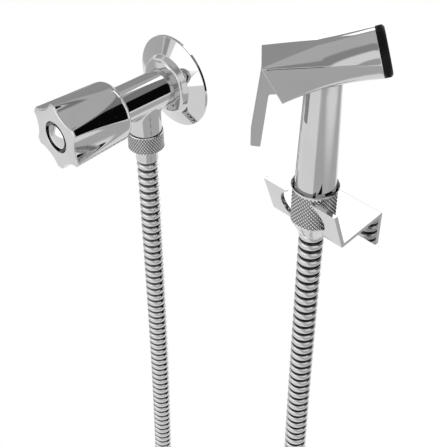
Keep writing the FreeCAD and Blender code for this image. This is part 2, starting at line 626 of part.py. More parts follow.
def make_knob():
    """The knob: turned blank, flutes that run out near the rear, hub, recess, screw and cap."""
    axis = wall_axis()
    blank = turned("knob_blank", [
        ("knob_cavity_radius", "knob_rear"),
        ("knob_rear_radius", "knob_rear"),
        ("knob_front_radius", "knob_front"),
        ("recess_radius", "knob_front"),
        ("recess_radius", "knob_front - recess_depth"),
        ("screw_head_radius + seat_gap", "knob_front - recess_depth"),
        ("screw_head_radius + seat_gap", "spindle_end + 2 * fit_gap + knob_web"),
        ("screw_radius + seat_gap", "spindle_end + 2 * fit_gap + knob_web"),
        ("screw_radius + seat_gap", "spindle_end + 2 * fit_gap"),
        ("hub_radius", "spindle_end + 2 * fit_gap"),
        ("hub_radius", "knob_cavity_floor"),
        ("knob_cavity_radius", "knob_cavity_floor"),
    ], axis, rounds=[(1, "knob_shoulder")], bevels=[(2, "knob_bevel")])
    front = size("knob_front")
    run = front - size("flute_end")
    rise = size("knob_front_radius") - size("knob_rear_radius")
    length = front - size("knob_rear")
    end_radius = size("knob_rear_radius") + rise * (size("flute_end") - size("knob_rear")) / length
    floor = size("knob_front_radius") - size("flute_front_depth")
    lean = math.degrees(math.atan((end_radius - floor) / run))
    flutes = []
    for i in range(int(size("flute_count"))):
        spoke = Rotation(Vector(0, 0, 1), 360.0 * i / size("flute_count"))
        around = axis.multiply(Placement(Vector(), spoke))
        head = shifted(around, x=floor + size("flute_radius"), z=front)
        tilted = head.multiply(Placement(Vector(), Rotation(Vector(0, 1, 0), -lean)))
        flutes.append(cylinder("flute_%d" % i, "flute_radius", "2 * (knob_front - knob_rear)",
                               shifted(tilted, z=-1.5 * length)))
    hub = cylinder("knob_hub", "hub_radius", "spindle_end + 2 * fit_gap - hub_start",
                   shifted(axis, z=size("hub_start")))
    socket = doc.addObject("Part::Prism", "knob_socket")
    socket.Polygon = 12
    bind(socket, Circumradius="spindle_drive_radius + fit_gap",
         Height="spindle_end + 2 * fit_gap - hub_start")
    socket.Placement = shifted(axis, z=size("hub_start"))
    sleeve = cut("knob_sleeve", hub, socket)
    fluted = cut("knob_fluted", blank, *flutes)
    keep(fuse("knob", fluted, sleeve), "knob")

    head_seat = "spindle_end + 2 * fit_gap + knob_web"
    points = [
        ("0", head_seat + " - screw_length"),
        ("screw_radius", head_seat + " - screw_length"),
        ("screw_radius", head_seat),
        ("screw_head_radius", head_seat),
        ("screw_head_radius", head_seat + " + screw_head_height"),
        ("0", head_seat + " + screw_head_height"),
    ]
    screw = turned("screw_blank", points, axis)
    top = (size("spindle_end") + 2 * size("fit_gap") + size("knob_web")
           + size("screw_head_height"))
    slots = []
    for i in range(2):
        turn = axis.multiply(Placement(Vector(), Rotation(Vector(0, 0, 1), 90 * i)))
        half = size("screw_slot") / 2
        slots.append(box("screw_slot_%d" % i, "1.2 * screw_head_radius", "screw_slot", "screw_slot",
                         shifted(turn, x=-0.6 * size("screw_head_radius"), y=-half, z=top - 2 * half)))
    keep(cut("knob_screw", screw, *slots), "knob_screw")

    low = "knob_front - recess_depth"
    cap = turned("cap_disc", [
        ("0", low),
        ("cap_radius", low),
        ("cap_radius", low + " + cap_rim"),
        ("0", low + " + cap_rim"),
    ], axis)
    dome = doc.addObject("Part::Sphere", "cap_dome")
    bind(dome, Radius="(cap_radius * cap_radius + cap_rise * cap_rise) / (2 * cap_rise)")
    ball = (size("cap_radius") ** 2 + size("cap_rise") ** 2) / (2 * size("cap_rise"))
    base = front - size("recess_depth") + size("cap_rim")
    dome.Placement = shifted(axis, z=base + size("cap_rise") - ball)
    reach = cylinder("cap_reach", "cap_radius", "2 * cap_rise", shifted(axis, z=base))
    lens = doc.addObject("Part::Common", "cap_lens")
    lens.Base = dome
    lens.Tool = reach
    doc.recompute()
    keep(fuse("knob_cap", cap, lens), "knob_cap")


def make_valve_end():
    """The hose's fittings under the valve: nut, washer and ferrule."""
    axis = branch_axis()
    flange_top = "branch_drop + hose_washer_height"
    flange_low = flange_top + " + ferrule_flange"
    nut = turned("valve_end_nut", [
        ("branch_radius + seat_gap", "-nut_top"),
        ("nut_radius", "-nut_top"),
        ("nut_radius", "-nut_bottom"),
        ("ferrule_radius + fit_gap", "-nut_bottom"),
        ("ferrule_radius + fit_gap", "-(%s)" % flange_low),
        ("hose_thread_radius + fit_gap", "-(%s)" % flange_low),
        ("hose_thread_radius + fit_gap", "-nut_top - nut_mouth"),
    ], axis, bevels=[(2, "nut_chamfer")])
    keep(nut, "valve_end_nut")
    washer("valve_end_washer", "hose_washer_radius", "washer_bore", "-(%s)" % flange_top,
           "-branch_drop", axis)
    ferrule = turned("valve_end_ferrule", [
        ("ferrule_bore", "-(%s)" % flange_top),
        ("hose_washer_radius", "-(%s)" % flange_top),
        ("hose_washer_radius", "-(%s)" % flange_low),
        ("ferrule_radius", "-(%s)" % flange_low),
        ("ferrule_radius", "-ferrule_drop"),
        ("ferrule_bore", "-ferrule_drop"),
    ], axis)
    keep(ferrule, "valve_end_ferrule")


def make_handset_end():
    """The hose's fittings under the handset: cone nut, washer and ferrule."""
    axis = handset_axis()
    flange_top = "handle_thread_drop + hose_washer_height"
    flange_low = flange_top + " + ferrule_flange"
    nut = turned("cone_nut", [
        ("cone_rim_radius - cone_rim_land", "cone_top"),
        ("cone_rim_radius", "cone_top"),
        ("cone_rim_radius", "cone_top - cone_rim_edge"),
        ("cone_grip_radius", "cone_top - cone_rim_edge - cone_rim_flare"),
        ("cone_grip_radius", "-cone_grip_drop"),
        ("cone_end_radius", "-cone_drop"),
        ("ferrule_radius + fit_gap", "-cone_drop"),
        ("ferrule_radius + fit_gap", "-(%s)" % flange_low),
        ("hose_thread_radius + fit_gap", "-(%s)" % flange_low),
        ("hose_thread_radius + fit_gap", "handle_bottom - cone_mouth"),
        ("handle_bottom_radius + seat_gap", "handle_bottom - seat_gap"),
    ], axis)
    keep(nut, "cone_nut")
    washer("handset_end_washer", "hose_washer_radius", "washer_bore", "-(%s)" % flange_top,
           "-handle_thread_drop", axis)
    ferrule = turned("handset_end_ferrule", [
        ("ferrule_bore", "-(%s)" % flange_top),
        ("hose_washer_radius", "-(%s)" % flange_top),
        ("hose_washer_radius", "-(%s)" % flange_low),
        ("ferrule_radius", "-(%s)" % flange_low),
        ("ferrule_radius", "-handset_ferrule_drop"),
        ("ferrule_bore", "-handset_ferrule_drop"),
    ], axis)
    keep(ferrule, "handset_end_ferrule")


def hose_path():
    """Straight runs joined by arcs as large as the runs allow, as one wire."""
    ends = [(0.0, size("branch_reach"), -size("ferrule_drop")),
            (size("holder_span"), size("holder_reach"), -size("handset_ferrule_drop"))]
    route = [ends[0]] + HOSE_ROUTE[1:-1] + [ends[1]]
    points = [Vector(x, -reach, z) for x, reach, z in route]
    edges = []
    here = points[0]
    radii = []
    for before, corner, after in zip(points, points[1:], points[2:]):
        into = (corner - before).normalize()
        out = (after - corner).normalize()
        half = into.getAngle(out) / 2
        shorter = min((corner - before).Length, (after - corner).Length)
        tangent = ARC_SHARE * shorter
        radius = tangent / math.tan(half)
        radii.append(radius)
        start = corner - into * tangent
        end = corner + out * tangent
        bisector = (out - into).normalize()
        middle = corner + bisector * (radius / math.cos(half) - radius)
        edges.append(Part.LineSegment(here, start).toShape())
        edges.append(Part.Arc(start, middle, end).toShape())
        here = end
    edges.append(Part.LineSegment(here, points[-1]).toShape())
    print("hose arc radii:", ", ".join("%.0f" % r for r in radii))
    return Part.Wire(edges)


def make_hose():
    """The metal hose as a plain round rod along its route."""
    path = doc.addObject("Part::Feature", "hose_path")
    path.Shape = hose_path()
    ring = doc.addObject("Part::Circle", "hose_section")
    bind(ring, Radius="hose_radius")
    ring.Placement = shifted(branch_axis(), z=-size("ferrule_drop"))
    hose = doc.addObject("Part::Sweep", "hose")
    hose.Sections = [ring]
    hose.Spine = (path, ["Edge%d" % (i + 1) for i in range(len(path.Shape.Edges))])
    hose.Solid = True
    hose.Frenet = False
    doc.recompute()
    expected = math.pi * size("hose_radius") ** 2 * path.Shape.Length
    print("hose length %.1f mm, volume %.5f of section times length"
          % (path.Shape.Length, hose.Shape.Volume / expected))
    keep(hose, "hose")


def head_section(share):
    """The head's outline at a share of its length, 0 at the square end and 1 at the round face.

    Straight sides shrink as the corner arcs grow, so flat facets narrow towards the nozzle.
    """
    top = Vector(size("head_rear"), 0, size("head_rear_top"))
    heel = Vector(size("head_heel"), 0, size("head_heel_level"))
    rear_middle = (top + heel) * 0.5
    rear_half = (top - heel).Length / 2
    rear_lean = math.degrees(math.atan2(heel.x - top.x, top.z - heel.z))
    face_middle = Vector(size("nozzle_advance"), 0, size("nozzle_level"))
    middle = rear_middle * (1 - share) + face_middle * share
    middle.z -= 4 * size("head_hollow") * share * (1 - share)
    lean = rear_lean * (1 - share) + size("nozzle_tilt") * share
    corner = size("head_corner") * (1 - share) + (size("nozzle_radius") - size("face_side")) * share
    across = (size("head_half_width") - size("head_corner")) * (1 - share) + size("face_side") * share
    upright = (rear_half - size("head_corner")) * (1 - share) + size("face_side") * share
    edges = []
    signs = [(1, 1), (-1, 1), (-1, -1), (1, -1)]
    for i, (side, rise) in enumerate(signs):
        centre = Vector(side * across, rise * upright, 0)
        first = Vector(corner, 0, 0) if i % 2 == 0 else Vector(0, corner, 0)
        second = Vector(0, corner, 0) if i % 2 == 0 else Vector(corner, 0, 0)
        first = Vector(side * first.x, rise * first.y, 0)
        second = Vector(side * second.x, rise * second.y, 0)
        halfway = Vector(side, rise, 0).normalize() * corner
        edges.append(Part.Arc(centre + first, centre + halfway, centre + second).toShape())
        following = signs[(i + 1) % 4]
        next_centre = Vector(following[0] * across, following[1] * upright, 0)
        next_first = Vector(0, rise * corner, 0) if i % 2 == 0 else Vector(side * corner, 0, 0)
        edges.append(Part.LineSegment(centre + second, next_centre + next_first).toShape())
    wire = Part.Wire(edges)
    wire.Placement = Placement(middle, Rotation(Vector(0, 1, 0), 90 - lean).multiply(
        Rotation(Vector(0, 0, 1), 90)))
    return wire


def make_handset():
    """Handle and spray head as one casting, with the pocket, the valve's bore and the water ways."""
    frame = head_frame()
    sections = [head_section(share) for share in (0.0, 0.35, 0.7, 1.0)]
    loft = doc.addObject("Part::Feature", "head_loft")
    loft.Shape = Part.makeLoft(sections, True, False)
    loft.Placement = frame
    handle = turned("handle_tube", [
        ("0", "-handle_thread_drop"),
        ("hose_thread_radius - hose_thread_bevel", "-handle_thread_drop"),
        ("hose_thread_radius", "hose_thread_bevel - handle_thread_drop"),
        ("hose_thread_radius", "handle_bottom"),
        ("handle_bottom_radius", "handle_bottom"),
        ("handle_top_radius", "handle_top"),
        ("handle_top_radius", "handle_top + handle_sink"),
        ("0", "handle_top + handle_sink"),
    ], handset_axis())
    solid = fuse("handset_solid", loft, handle)

    half = size("head_half_width") - size("cheek_wall")
    pocket = box("pocket", "pocket_floor - head_rear + pocket_overrun", "2 * (head_half_width - cheek_wall)",
                 "pocket_roof - head_heel_level + pocket_overrun",
                 shifted(frame, x=size("head_rear") - size("pocket_overrun"), y=-half,
                         z=size("head_heel_level") - size("pocket_overrun")))
    near = size("head_half_width") - size("pin_inset")
    pin_hole = cylinder("pin_hole", "pin_radius + fit_gap", "2 * head_half_width + 2 * overrun", frame.multiply(
        Placement(Vector(size("pin_along"), -near, size("pin_level")), Rotation(Vector(1, 0, 0), -90))))
    valve_axis = along_head(size("valve_level"))
    bore = cylinder("valve_bore_way", "valve_bore", "valve_bore_end - pocket_floor + overrun",
                    shifted(valve_axis, z=size("pocket_floor") - size("overrun")))
    way_up = cylinder("handle_way", "handle_bore", "valve_level + handle_thread_drop",
                      shifted(handset_axis(), z=-size("handle_thread_drop")))
    port_along = size("gland_port_along")
    riser = cylinder("riser_way", "gallery_radius", "gallery_level - valve_level",
                     shifted(frame, x=port_along, z=size("valve_level")))
    start = Vector(port_along, 0, size("gallery_level"))
    back = Vector(-math.cos(math.radians(size("nozzle_tilt"))), 0,
                  -math.sin(math.radians(size("nozzle_tilt"))))
    end = Vector(size("nozzle_advance"), 0, size("nozzle_level")) + back * (size("nozzle_depth") - size("overrun"))
    run = end - start
    gallery = doc.addObject("Part::Cylinder", "gallery_way")
    bind(gallery, Radius="gallery_radius")
    gallery.Height = run.Length
    gallery.Placement = frame.multiply(Placement(start, Rotation(Vector(0, 0, 1), run)))
    mouth = cylinder("nozzle_way", "nozzle_bore", "nozzle_depth",
                     shifted(nozzle_axis(), z=-size("nozzle_depth")))
    groove_outer = cylinder("skirt_groove_outer", "ring_skirt_radius + fit_gap", "ring_skirt + seat_gap",
                            shifted(nozzle_axis(), z=-size("ring_skirt") - size("seat_gap")))
    groove_inner = cylinder("skirt_groove_inner", "ring_bore - fit_gap", "ring_skirt + seat_gap",
                            shifted(nozzle_axis(), z=-size("ring_skirt") - size("seat_gap")))
    groove = cut("skirt_groove", groove_outer, groove_inner)
    keep(cut("handset_body", solid, pocket, pin_hole, bore, way_up, riser, gallery, mouth, groove),
         "handset_body")

    pin_length = "2 * head_half_width - pin_inset - 2 * fit_gap - pin_sunk"
    pin = cylinder("trigger_pin", "pin_radius", pin_length, frame.multiply(
        Placement(Vector(size("pin_along"), 2 * size("fit_gap") - near, size("pin_level")),
                  Rotation(Vector(1, 0, 0), -90))))
    keep(pin, "trigger_pin")


def make_lever():
    """The trigger: a flat lever with a web under its pin boss that pushes the plunger."""
    body = doc.addObject("PartDesign::Body", "lever")
    width = "2 * (head_half_width - cheek_wall - hinge_gap)"
    points = [
        ("lever_top_along - lever_thickness / 2", "pin_level + lever_boss_radius"),
        ("lever_tip_along - lever_tip_thickness / 2", "lever_tip_level"),
        ("lever_tip_along + lever_tip_thickness / 2", "lever_tip_level"),
        ("lever_top_along + lever_thickness / 2", "web_level"),
        ("web_along", "web_level"),
        ("web_along", "valve_level"),
        ("pin_along + lever_boss_radius", "pin_level"),
        ("pin_along + lever_boss_radius / 2", "pin_level + lever_boss_radius"),
    ]
    sketch = profile_sketch(body, "lever_outline", points)
    pad = body.newObject("PartDesign::Pad", "lever_pad")
    pad.Profile = sketch
    pad.SideType = "Symmetric"
    pad.setExpression("Length", formula(width))
    body.Tip = pad
    doc.recompute()
    tips = []
    for i, edge in enumerate(pad.Shape.Edges):
        level = edge.BoundBox
        if level.ZMax < size("lever_tip_level") + size("overrun"):
            tips.append("Edge%d" % (i + 1))
    dress = body.newObject("PartDesign::Fillet", "lever_tip_round")
    dress.Base = (pad, tips)
    dress.setExpression("Radius", formula("lever_round"))
    body.Tip = dress
    doc.recompute()
    body.Placement = head_frame()
    half = size("head_half_width") - size("cheek_wall")
    hole = cylinder("lever_bore", "pin_radius + fit_gap", "2 * head_half_width", head_frame().multiply(
        Placement(Vector(size("pin_along"), -half - size("overrun"), size("pin_level")),
                  Rotation(Vector(1, 0, 0), -90))))
    keep(cut("trigger", body, hole), "trigger")


def make_spray_valve():
    """Gland nut with the seat, plunger, rubber valve disc, stem ring and return spring."""
    axis = along_head(size("valve_level"))
    gland = turned("gland_blank", [
        ("stem_radius + fit_gap", "pocket_floor - gland_head"),
        ("gland_head_radius", "pocket_floor - gland_head"),
        ("gland_head_radius", "pocket_floor"),
        ("gland_radius", "pocket_floor"),
        ("gland_radius", "gland_seat"),
        ("gland_chamber", "gland_seat"),
        ("gland_chamber", "gland_guide"),
        ("stem_radius + fit_gap", "gland_guide"),
    ], axis)
    port = doc.addObject("Part::Cylinder", "gland_ports")
    bind(port, Radius="gland_port", Height="2 * gland_radius + 2 * overrun")
    middle = Vector(size("gland_port_along"), 0,
                    size("valve_level") - size("gland_radius") - size("overrun"))
    port.Placement = head_frame().multiply(Placement(middle, Rotation()))
    keep(cut("gland_nut", gland, port), "gland_nut")

    ring_at = (size("pocket_floor") + size("gland_guide")) / 2
    ring_middle = "(pocket_floor + gland_guide) / 2"
    ring_floor = "stem_radius - 2 * stem_ring_wire"
    head_low = "gland_seat + seal_height + fit_gap"
    guide = "spring_radius - spring_wire - seat_gap"
    plunger = turned("plunger", [
        ("0", "web_along + hinge_gap"),
        ("stem_radius - stem_bevel", "web_along + hinge_gap"),
        ("stem_radius", "web_along + hinge_gap + stem_bevel"),
        ("stem_radius", ring_middle + " - stem_ring_wire - groove_play"),
        (ring_floor, ring_middle + " - stem_ring_wire - groove_play"),
        (ring_floor, ring_middle + " + stem_ring_wire + groove_play"),
        ("stem_radius", ring_middle + " + stem_ring_wire + groove_play"),
        ("stem_radius", head_low),
        ("plunger_head_radius", head_low),
        ("plunger_head_radius", head_low + " + plunger_head"),
        (guide, head_low + " + plunger_head"),
        (guide, head_low + " + plunger_head + spring_guide"),
        ("0", head_low + " + plunger_head + spring_guide"),
    ], axis)
    keep(plunger, "plunger")
    washer("plunger_seal", "plunger_head_radius", "stem_radius + fit_gap", "gland_seat + fit_gap",
           "gland_seat + fit_gap + seal_height", axis)
    seal_ring("plunger_o_ring", "stem_radius - stem_ring_wire + 0.5 * fit_gap", "stem_ring_wire",
              axis, ring_at)

    low = size("gland_seat") + size("seal_height") + size("fit_gap") + size("plunger_head")
    high = size("valve_bore_end")
    wire = size("spring_wire")
    room = high - low - 2 * wire - 2 * size("fit_gap")
    helix = doc.addObject("Part::Helix", "spring_helix")
    bind(helix, Radius="spring_radius")
    helix.Pitch = room / size("spring_turns")
    helix.Height = room
    section = doc.addObject("Part::Circle", "spring_section")
    bind(section, Radius="spring_wire")
    section.Placement = Placement(Vector(size("spring_radius"), 0, 0), Rotation(Vector(1, 0, 0), 90))
    spring = doc.addObject("Part::Sweep", "return_spring")
    spring.Sections = [section]
    spring.Spine = (helix, ["Edge%d" % (i + 1) for i in range(len(helix.Shape.Edges))])
    spring.Solid = True
    spring.Frenet = True
    doc.recompute()
    spring.Placement = shifted(axis, z=low + wire + size("fit_gap"))
    keep(spring, "return_spring")


def make_spray_ring():
    """The black ring with its grip ribs, the perforated face behind its lip, and the seal."""
    axis = nozzle_axis()
    front = size("ring_length")
    ring = turned("ring_blank", [
        ("ring_bore", "-ring_skirt"),
        ("ring_skirt_radius", "-ring_skirt"),
        ("ring_skirt_radius", "0"),
        ("ring_radius", "0"),
        ("ring_radius", "ring_length - ring_bevel"),
        ("ring_radius - ring_bevel", "ring_length"),
        ("ring_mouth", "ring_length"),
        ("ring_mouth", "ring_length - ring_lip"),
        ("ring_bore", "ring_length - ring_lip"),
    ], axis)
    keep(ring, "spray_ring")

    face_low = "ring_length - ring_lip - face_height"
    plate = turned("face_blank", [
        ("0", face_low),
        ("ring_bore - fit_gap", face_low),
        ("ring_bore - fit_gap", "ring_length - ring_lip"),
        ("0", "ring_length - ring_lip"),
    ], axis)
    holes = []
    low = front - size("ring_lip") - size("face_height")
    for ring in range(int(size("face_hole_circles")) + 1):
        count = max(1, 6 * ring)
        circle = ring * size("face_hole_pitch")
        for i in range(count):
            angle = 2 * math.pi * i / count
            holes.append(cylinder("face_hole_%d_%d" % (count, i), "face_hole", "face_height + 2 * overrun",
                                  shifted(axis, x=circle * math.cos(angle), y=circle * math.sin(angle),
                                          z=low - size("overrun"))))
    pierced = doc.addObject("Part::MultiFuse", "face_holes")
    pierced.Shapes = holes
    doc.recompute()
    keep(cut("spray_face", plate, pierced), "spray_face")
    washer("spray_face_seal", "ring_bore - fit_gap", "nozzle_bore", "0", face_low, axis)


def make_hook():
    """The folded sheet: wall plate, middle panel with the round seat, fork with its throat."""
    body = doc.addObject("PartDesign::Body", "hook_sheet_body")
    lean = "tan(fork_lean * 1 deg)"
    inner = "hook_sheet / cos(fork_lean * 1 deg)"
    rise = "fork_top + hook_fold_drop"
    slope = "(hook_fold_drop - hook_top - hook_sheet) / hook_fold_reach"
    points = [
        ("0", "-hook_bottom"),
        ("0", "-hook_top"),
        ("-hook_fold_reach + %s - hook_sheet * %s" % (inner, lean),
         "-hook_fold_drop + hook_sheet"),
        ("-hook_fold_reach + %s - (%s) * %s" % (inner, rise, lean), "fork_top"),
        ("-hook_fold_reach - (%s) * %s" % (rise, lean), "fork_top"),
        ("-hook_fold_reach", "-hook_fold_drop"),
        ("-hook_sheet", "-hook_top - hook_sheet - hook_sheet * %s" % slope),
        ("-hook_sheet", "-hook_bottom"),
    ]
    sketch = profile_sketch(body, "hook_outline", points, "YZ_Plane")
    pad = body.newObject("PartDesign::Pad", "hook_pad")
    pad.Profile = sketch
    pad.SideType = "Symmetric"
    pad.setExpression("Length", formula("hook_width"))
    body.Tip = pad
    doc.recompute()
    span = size("holder_span")
    body.Placement = Placement(Vector(span, 0, 0), Rotation())

    seat = cylinder("hook_seat", "seat_radius", "hook_bottom - hook_top",
                    shifted(handset_axis(), z=-size("hook_bottom")))
    angle = math.radians(size("fork_lean"))
    level = -size("throat_drop")
    depth = size("hook_fold_reach") + (level + size("hook_fold_drop")) * math.tan(angle)
    middle = Vector(span, -depth, level)
    outward = Vector(0, -math.cos(angle), -math.sin(angle))
    face = Placement(middle, Rotation(Vector(0, 0, 1), outward))
    throat = cylinder("hook_throat", "throat_radius", "3 * hook_sheet",
                      shifted(face, z=-1.5 * size("hook_sheet")))
    guard = box("hook_throat_guard", "2 * throat_radius", "2 * throat_radius", "4 * throat_radius",
                Placement(Vector(span - size("throat_radius"),
                                 -size("hook_fold_reach") - 2 * size("throat_radius")
                                 + size("hook_sheet"), -size("hook_fold_drop") + size("hook_sheet")),
                          Rotation()))
    upper = doc.addObject("Part::Common", "hook_throat_upper")
    upper.Base = throat
    upper.Tool = guard
    slot = box("hook_slot", "2 * slot_half", "8 * hook_sheet", "slot_depth + overrun",
               Placement(Vector(span - size("slot_half"),
                                -depth - 8 * size("hook_sheet"), size("fork_top") - size("slot_depth")),
                         Rotation()))
    holes = []
    for side in (-1, 1):
        place = wall_axis(span + side * size("screw_hole_pitch") / 2, -size("screw_hole_drop"))
        holes.append(cylinder("hook_hole_%s" % ("left" if side < 0 else "right"), "screw_hole_radius",
                              "hook_sheet + 2 * overrun",
                              shifted(place, z=-size("overrun"))))
    keep(cut("wall_hook", body, seat, upper, slot, *holes), "wall_hook")


make_cover()
make_valve_body()
make_headwork()
make_knob()
make_valve_end()
make_handset_end()
make_hose()
make_handset()
make_lever()
make_spray_valve()
make_spray_ring()
make_hook()

doc.recompute()
for obj in doc.Objects:
    for state in obj.State:
        if state in ("Invalid", "Error"):
            raise RuntimeError("%s is %s" % (obj.Name, state))
for piece in PIECES:
    shape = piece.Shape
    if shape.isNull() or not shape.isValid() or shape.Volume <= 0 or not shape.Solids:
        raise RuntimeError("%s has no sound solid" % piece.Label)

os.makedirs("parts", exist_ok=True)
for piece in PIECES:
    piece.Shape.exportStep("parts/%s.step" % piece.Label)
    print("%-20s %d solid, %8.0f mm3" % (piece.Label, len(piece.Shape.Solids), piece.Shape.Volume))
print("%d pieces" % len(PIECES))
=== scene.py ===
"""The looks of a handheld bidet shower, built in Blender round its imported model.

Lengths are in metres, in the model's own frame: +X runs along the wall from the valve to the
hook, +Y into the wall and +Z up, and the origin is the middle of the valve's inlet on the wall.
A reach is a distance from the wall into the room.
"""

from __future__ import annotations

import json
import logging
import math
from dataclasses import dataclass, field
from enum import Enum
from typing import Callable, Sequence

import bmesh
import bpy
from mathutils import Euler, Matrix, Vector

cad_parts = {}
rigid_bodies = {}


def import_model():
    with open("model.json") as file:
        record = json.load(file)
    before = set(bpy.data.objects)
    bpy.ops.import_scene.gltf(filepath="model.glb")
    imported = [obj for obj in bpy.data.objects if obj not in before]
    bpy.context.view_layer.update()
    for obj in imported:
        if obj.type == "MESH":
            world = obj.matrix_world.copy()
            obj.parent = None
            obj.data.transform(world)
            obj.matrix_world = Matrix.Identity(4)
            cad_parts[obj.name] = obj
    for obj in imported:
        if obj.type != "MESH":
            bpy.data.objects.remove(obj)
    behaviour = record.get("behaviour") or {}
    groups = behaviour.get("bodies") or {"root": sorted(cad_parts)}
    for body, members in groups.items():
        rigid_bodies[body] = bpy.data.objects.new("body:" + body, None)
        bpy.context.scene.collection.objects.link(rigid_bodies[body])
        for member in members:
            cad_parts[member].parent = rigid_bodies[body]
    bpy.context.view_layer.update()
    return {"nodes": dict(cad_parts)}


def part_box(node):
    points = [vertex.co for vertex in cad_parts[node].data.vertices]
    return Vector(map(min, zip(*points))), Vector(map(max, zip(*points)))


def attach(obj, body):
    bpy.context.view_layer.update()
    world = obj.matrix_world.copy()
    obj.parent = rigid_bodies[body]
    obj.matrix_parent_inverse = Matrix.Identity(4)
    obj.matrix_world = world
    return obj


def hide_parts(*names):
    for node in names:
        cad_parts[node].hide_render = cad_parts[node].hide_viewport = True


LOG = logging.getLogger("bidet_shower")
MM = 0.001
FULL_TURN = 2 * math.pi
PHOTO_PIXELS = 447
SENSOR_WIDTH_MM = 36.0


class Number:
    """A number socket of a node tree that can stand in a Python expression."""

    def __init__(self, tree: bpy.types.NodeTree, socket: bpy.types.NodeSocket) -> None:
        """Wraps a socket of a tree."""
        self.tree = tree
        self.socket = socket

    def _math(self, operation: str, first: Number | float, second: Number | float) -> Number:
        """Adds a Math node.

        Args:
            operation: The Math node's operation.
            first: The upper input.
            second: The lower input.

        Returns:
            The node's result.
        """
        node = self.tree.nodes.new("ShaderNodeMath")
        node.operation = operation
        for socket, value in zip(node.inputs, (first, second)):
            if isinstance(value, Number):
                self.tree.links.new(value.socket, socket)
            else:
                socket.default_value = value
        return Number(self.tree, node.outputs[0])

    def __add__(self, other: Number | float) -> Number:
        """This plus other."""
        return self._math("ADD", self, other)

    def __radd__(self, other: float) -> Number:
        """Other plus this."""
        return self._math("ADD", other, self)

    def __sub__(self, other: Number | float) -> Number:
        """This minus other."""
        return self._math("SUBTRACT", self, other)

    def __rsub__(self, other: float) -> Number:
        """Other minus this."""
        return self._math("SUBTRACT", other, self)

    def __mul__(self, other: Number | float) -> Number:
        """This times other."""
        return self._math("MULTIPLY", self, other)

    def __rmul__(self, other: float) -> Number:
        """Other times this."""
        return self._math("MULTIPLY", other, self)

    def highest(self, other: Number | float) -> Number:
        """The larger of the two."""
        return self._math("MAXIMUM", self, other)

    def size(self) -> Number:
        """The value without its sign."""
        return self._math("ABSOLUTE", self, 0.0)


class ShaderSheet:
    """The node tree of one material or of the world."""

    def __init__(self, tree: bpy.types.NodeTree) -> None:
        """Empties a tree and keeps it."""
        tree.nodes.clear()
        self.tree = tree

    def add(self, kind: str, settings: dict | None = None, **sockets: object) -> bpy.types.Node:
        """Adds a node.

        Args:
            kind: The node's type, without the word ShaderNode.
            settings: Properties that are set before its sockets.
            **sockets: A value, a Number or a socket for each input, with _ for a space.

        Returns:
            The new node.
        """
        node = self.tree.nodes.new("ShaderNode" + kind)
        for name, value in (settings or {}).items():
            setattr(node, name, value)
        for name, value in sockets.items():
            target = node.inputs[name.replace("_", " ")]
            if isinstance(value, Number):
                self.tree.links.new(value.socket, target)
            elif isinstance(value, bpy.types.NodeSocket):
                self.tree.links.new(value, target)
            else:
                target.default_value = value
        return node

    def number(self, socket: bpy.types.NodeSocket) -> Number:
        """The socket as a Number."""
        return Number(self.tree, socket)

    def smooth(self, value: Number, low: float, high: float) -> Number:
        """Rises smoothly from 0 at low to 1 at high.

        Args:
            value: What is measured.
            low: Where the result is 0.
            high: Where the result is 1.

        Returns:
            A share from 0 to 1.
        """
        node = self.add("MapRange", {"interpolation_type": "SMOOTHSTEP"}, Value=value)
        node.inputs["From Min"].default_value = low
        node.inputs["From Max"].default_value = high
        return self.number(node.outputs["Result"])

    def noise(self, scale: float, detail: float = 2.0) -> Number:
        """Noise on the piece's own coordinates.

        Args:
            scale: Features in a metre.
            detail: How many finer layers are added.

        Returns:
            The noise, about 0.5 on average.
        """
        where = self.add("TexCoord").outputs["Object"]
        node = self.add("TexNoise", Vector=where, Scale=scale, Detail=detail)
        return self.number(node.outputs["Fac"])

    def blend(self, share: Number, first: Sequence[float], second: Sequence[float]) -> bpy.types.NodeSocket:
        """A colour between two.

        Args:
            share: 0 for the first and 1 for the second.
            first: Red, green and blue.
            second: Red, green and blue.

        Returns:
            The colour socket.
        """
        node = self.add("Mix", {"data_type": "RGBA"})
        self.tree.links.new(share.socket, node.inputs["Factor"])
        node.inputs["A"].default_value = (*first, 1.0)
        node.inputs["B"].default_value = (*second, 1.0)
        colours = [socket for socket in node.inputs if socket.type == "RGBA"]
        colours[0].default_value = (*first, 1.0)
        colours[1].default_value = (*second, 1.0)
        return [socket for socket in node.outputs if socket.type == "RGBA"][0]

    def surface(self, shader: bpy.types.NodeSocket, output: str = "OutputMaterial") -> None:
        """Joins a shader to the tree's output."""
        self.add(output, Surface=shader)


def new_material(name: str) -> tuple[bpy.types.Material, ShaderSheet]:
    """An empty node material and its sheet."""
    material = bpy.data.materials.new(name)
    material.use_nodes = True
    return material, ShaderSheet(material.node_tree)


@dataclass(frozen=True)
class Chrome:
    """Bright plating over a base that is never quite flat."""

    name: str
    slot: str
    reflectance: float = 0.60
    roughness: float = 0.035
    ripple: float = 0.03
    ripple_scale: float = 70.0

    def build(self) -> bpy.types.Material:
        """Makes the material."""
        material, sheet = new_material(self.name)
        haze = sheet.smooth(sheet.noise(45.0, 3.0), 0.45, 0.75)
        level = self.reflectance
        colour = sheet.blend(haze, (level, level, level * 1.01), (level * 0.96,) * 3)
        bump = sheet.add("Bump", Strength=self.ripple, Distance=0.001,
                         Height=sheet.noise(self.ripple_scale, 1.0))
        shader = sheet.add("BsdfPrincipled", Base_Color=colour, Metallic=1.0,
                           Roughness=self.roughness + 0.03 * haze, Normal=bump.outputs["Normal"])
        sheet.surface(shader.outputs["BSDF"])
        return material


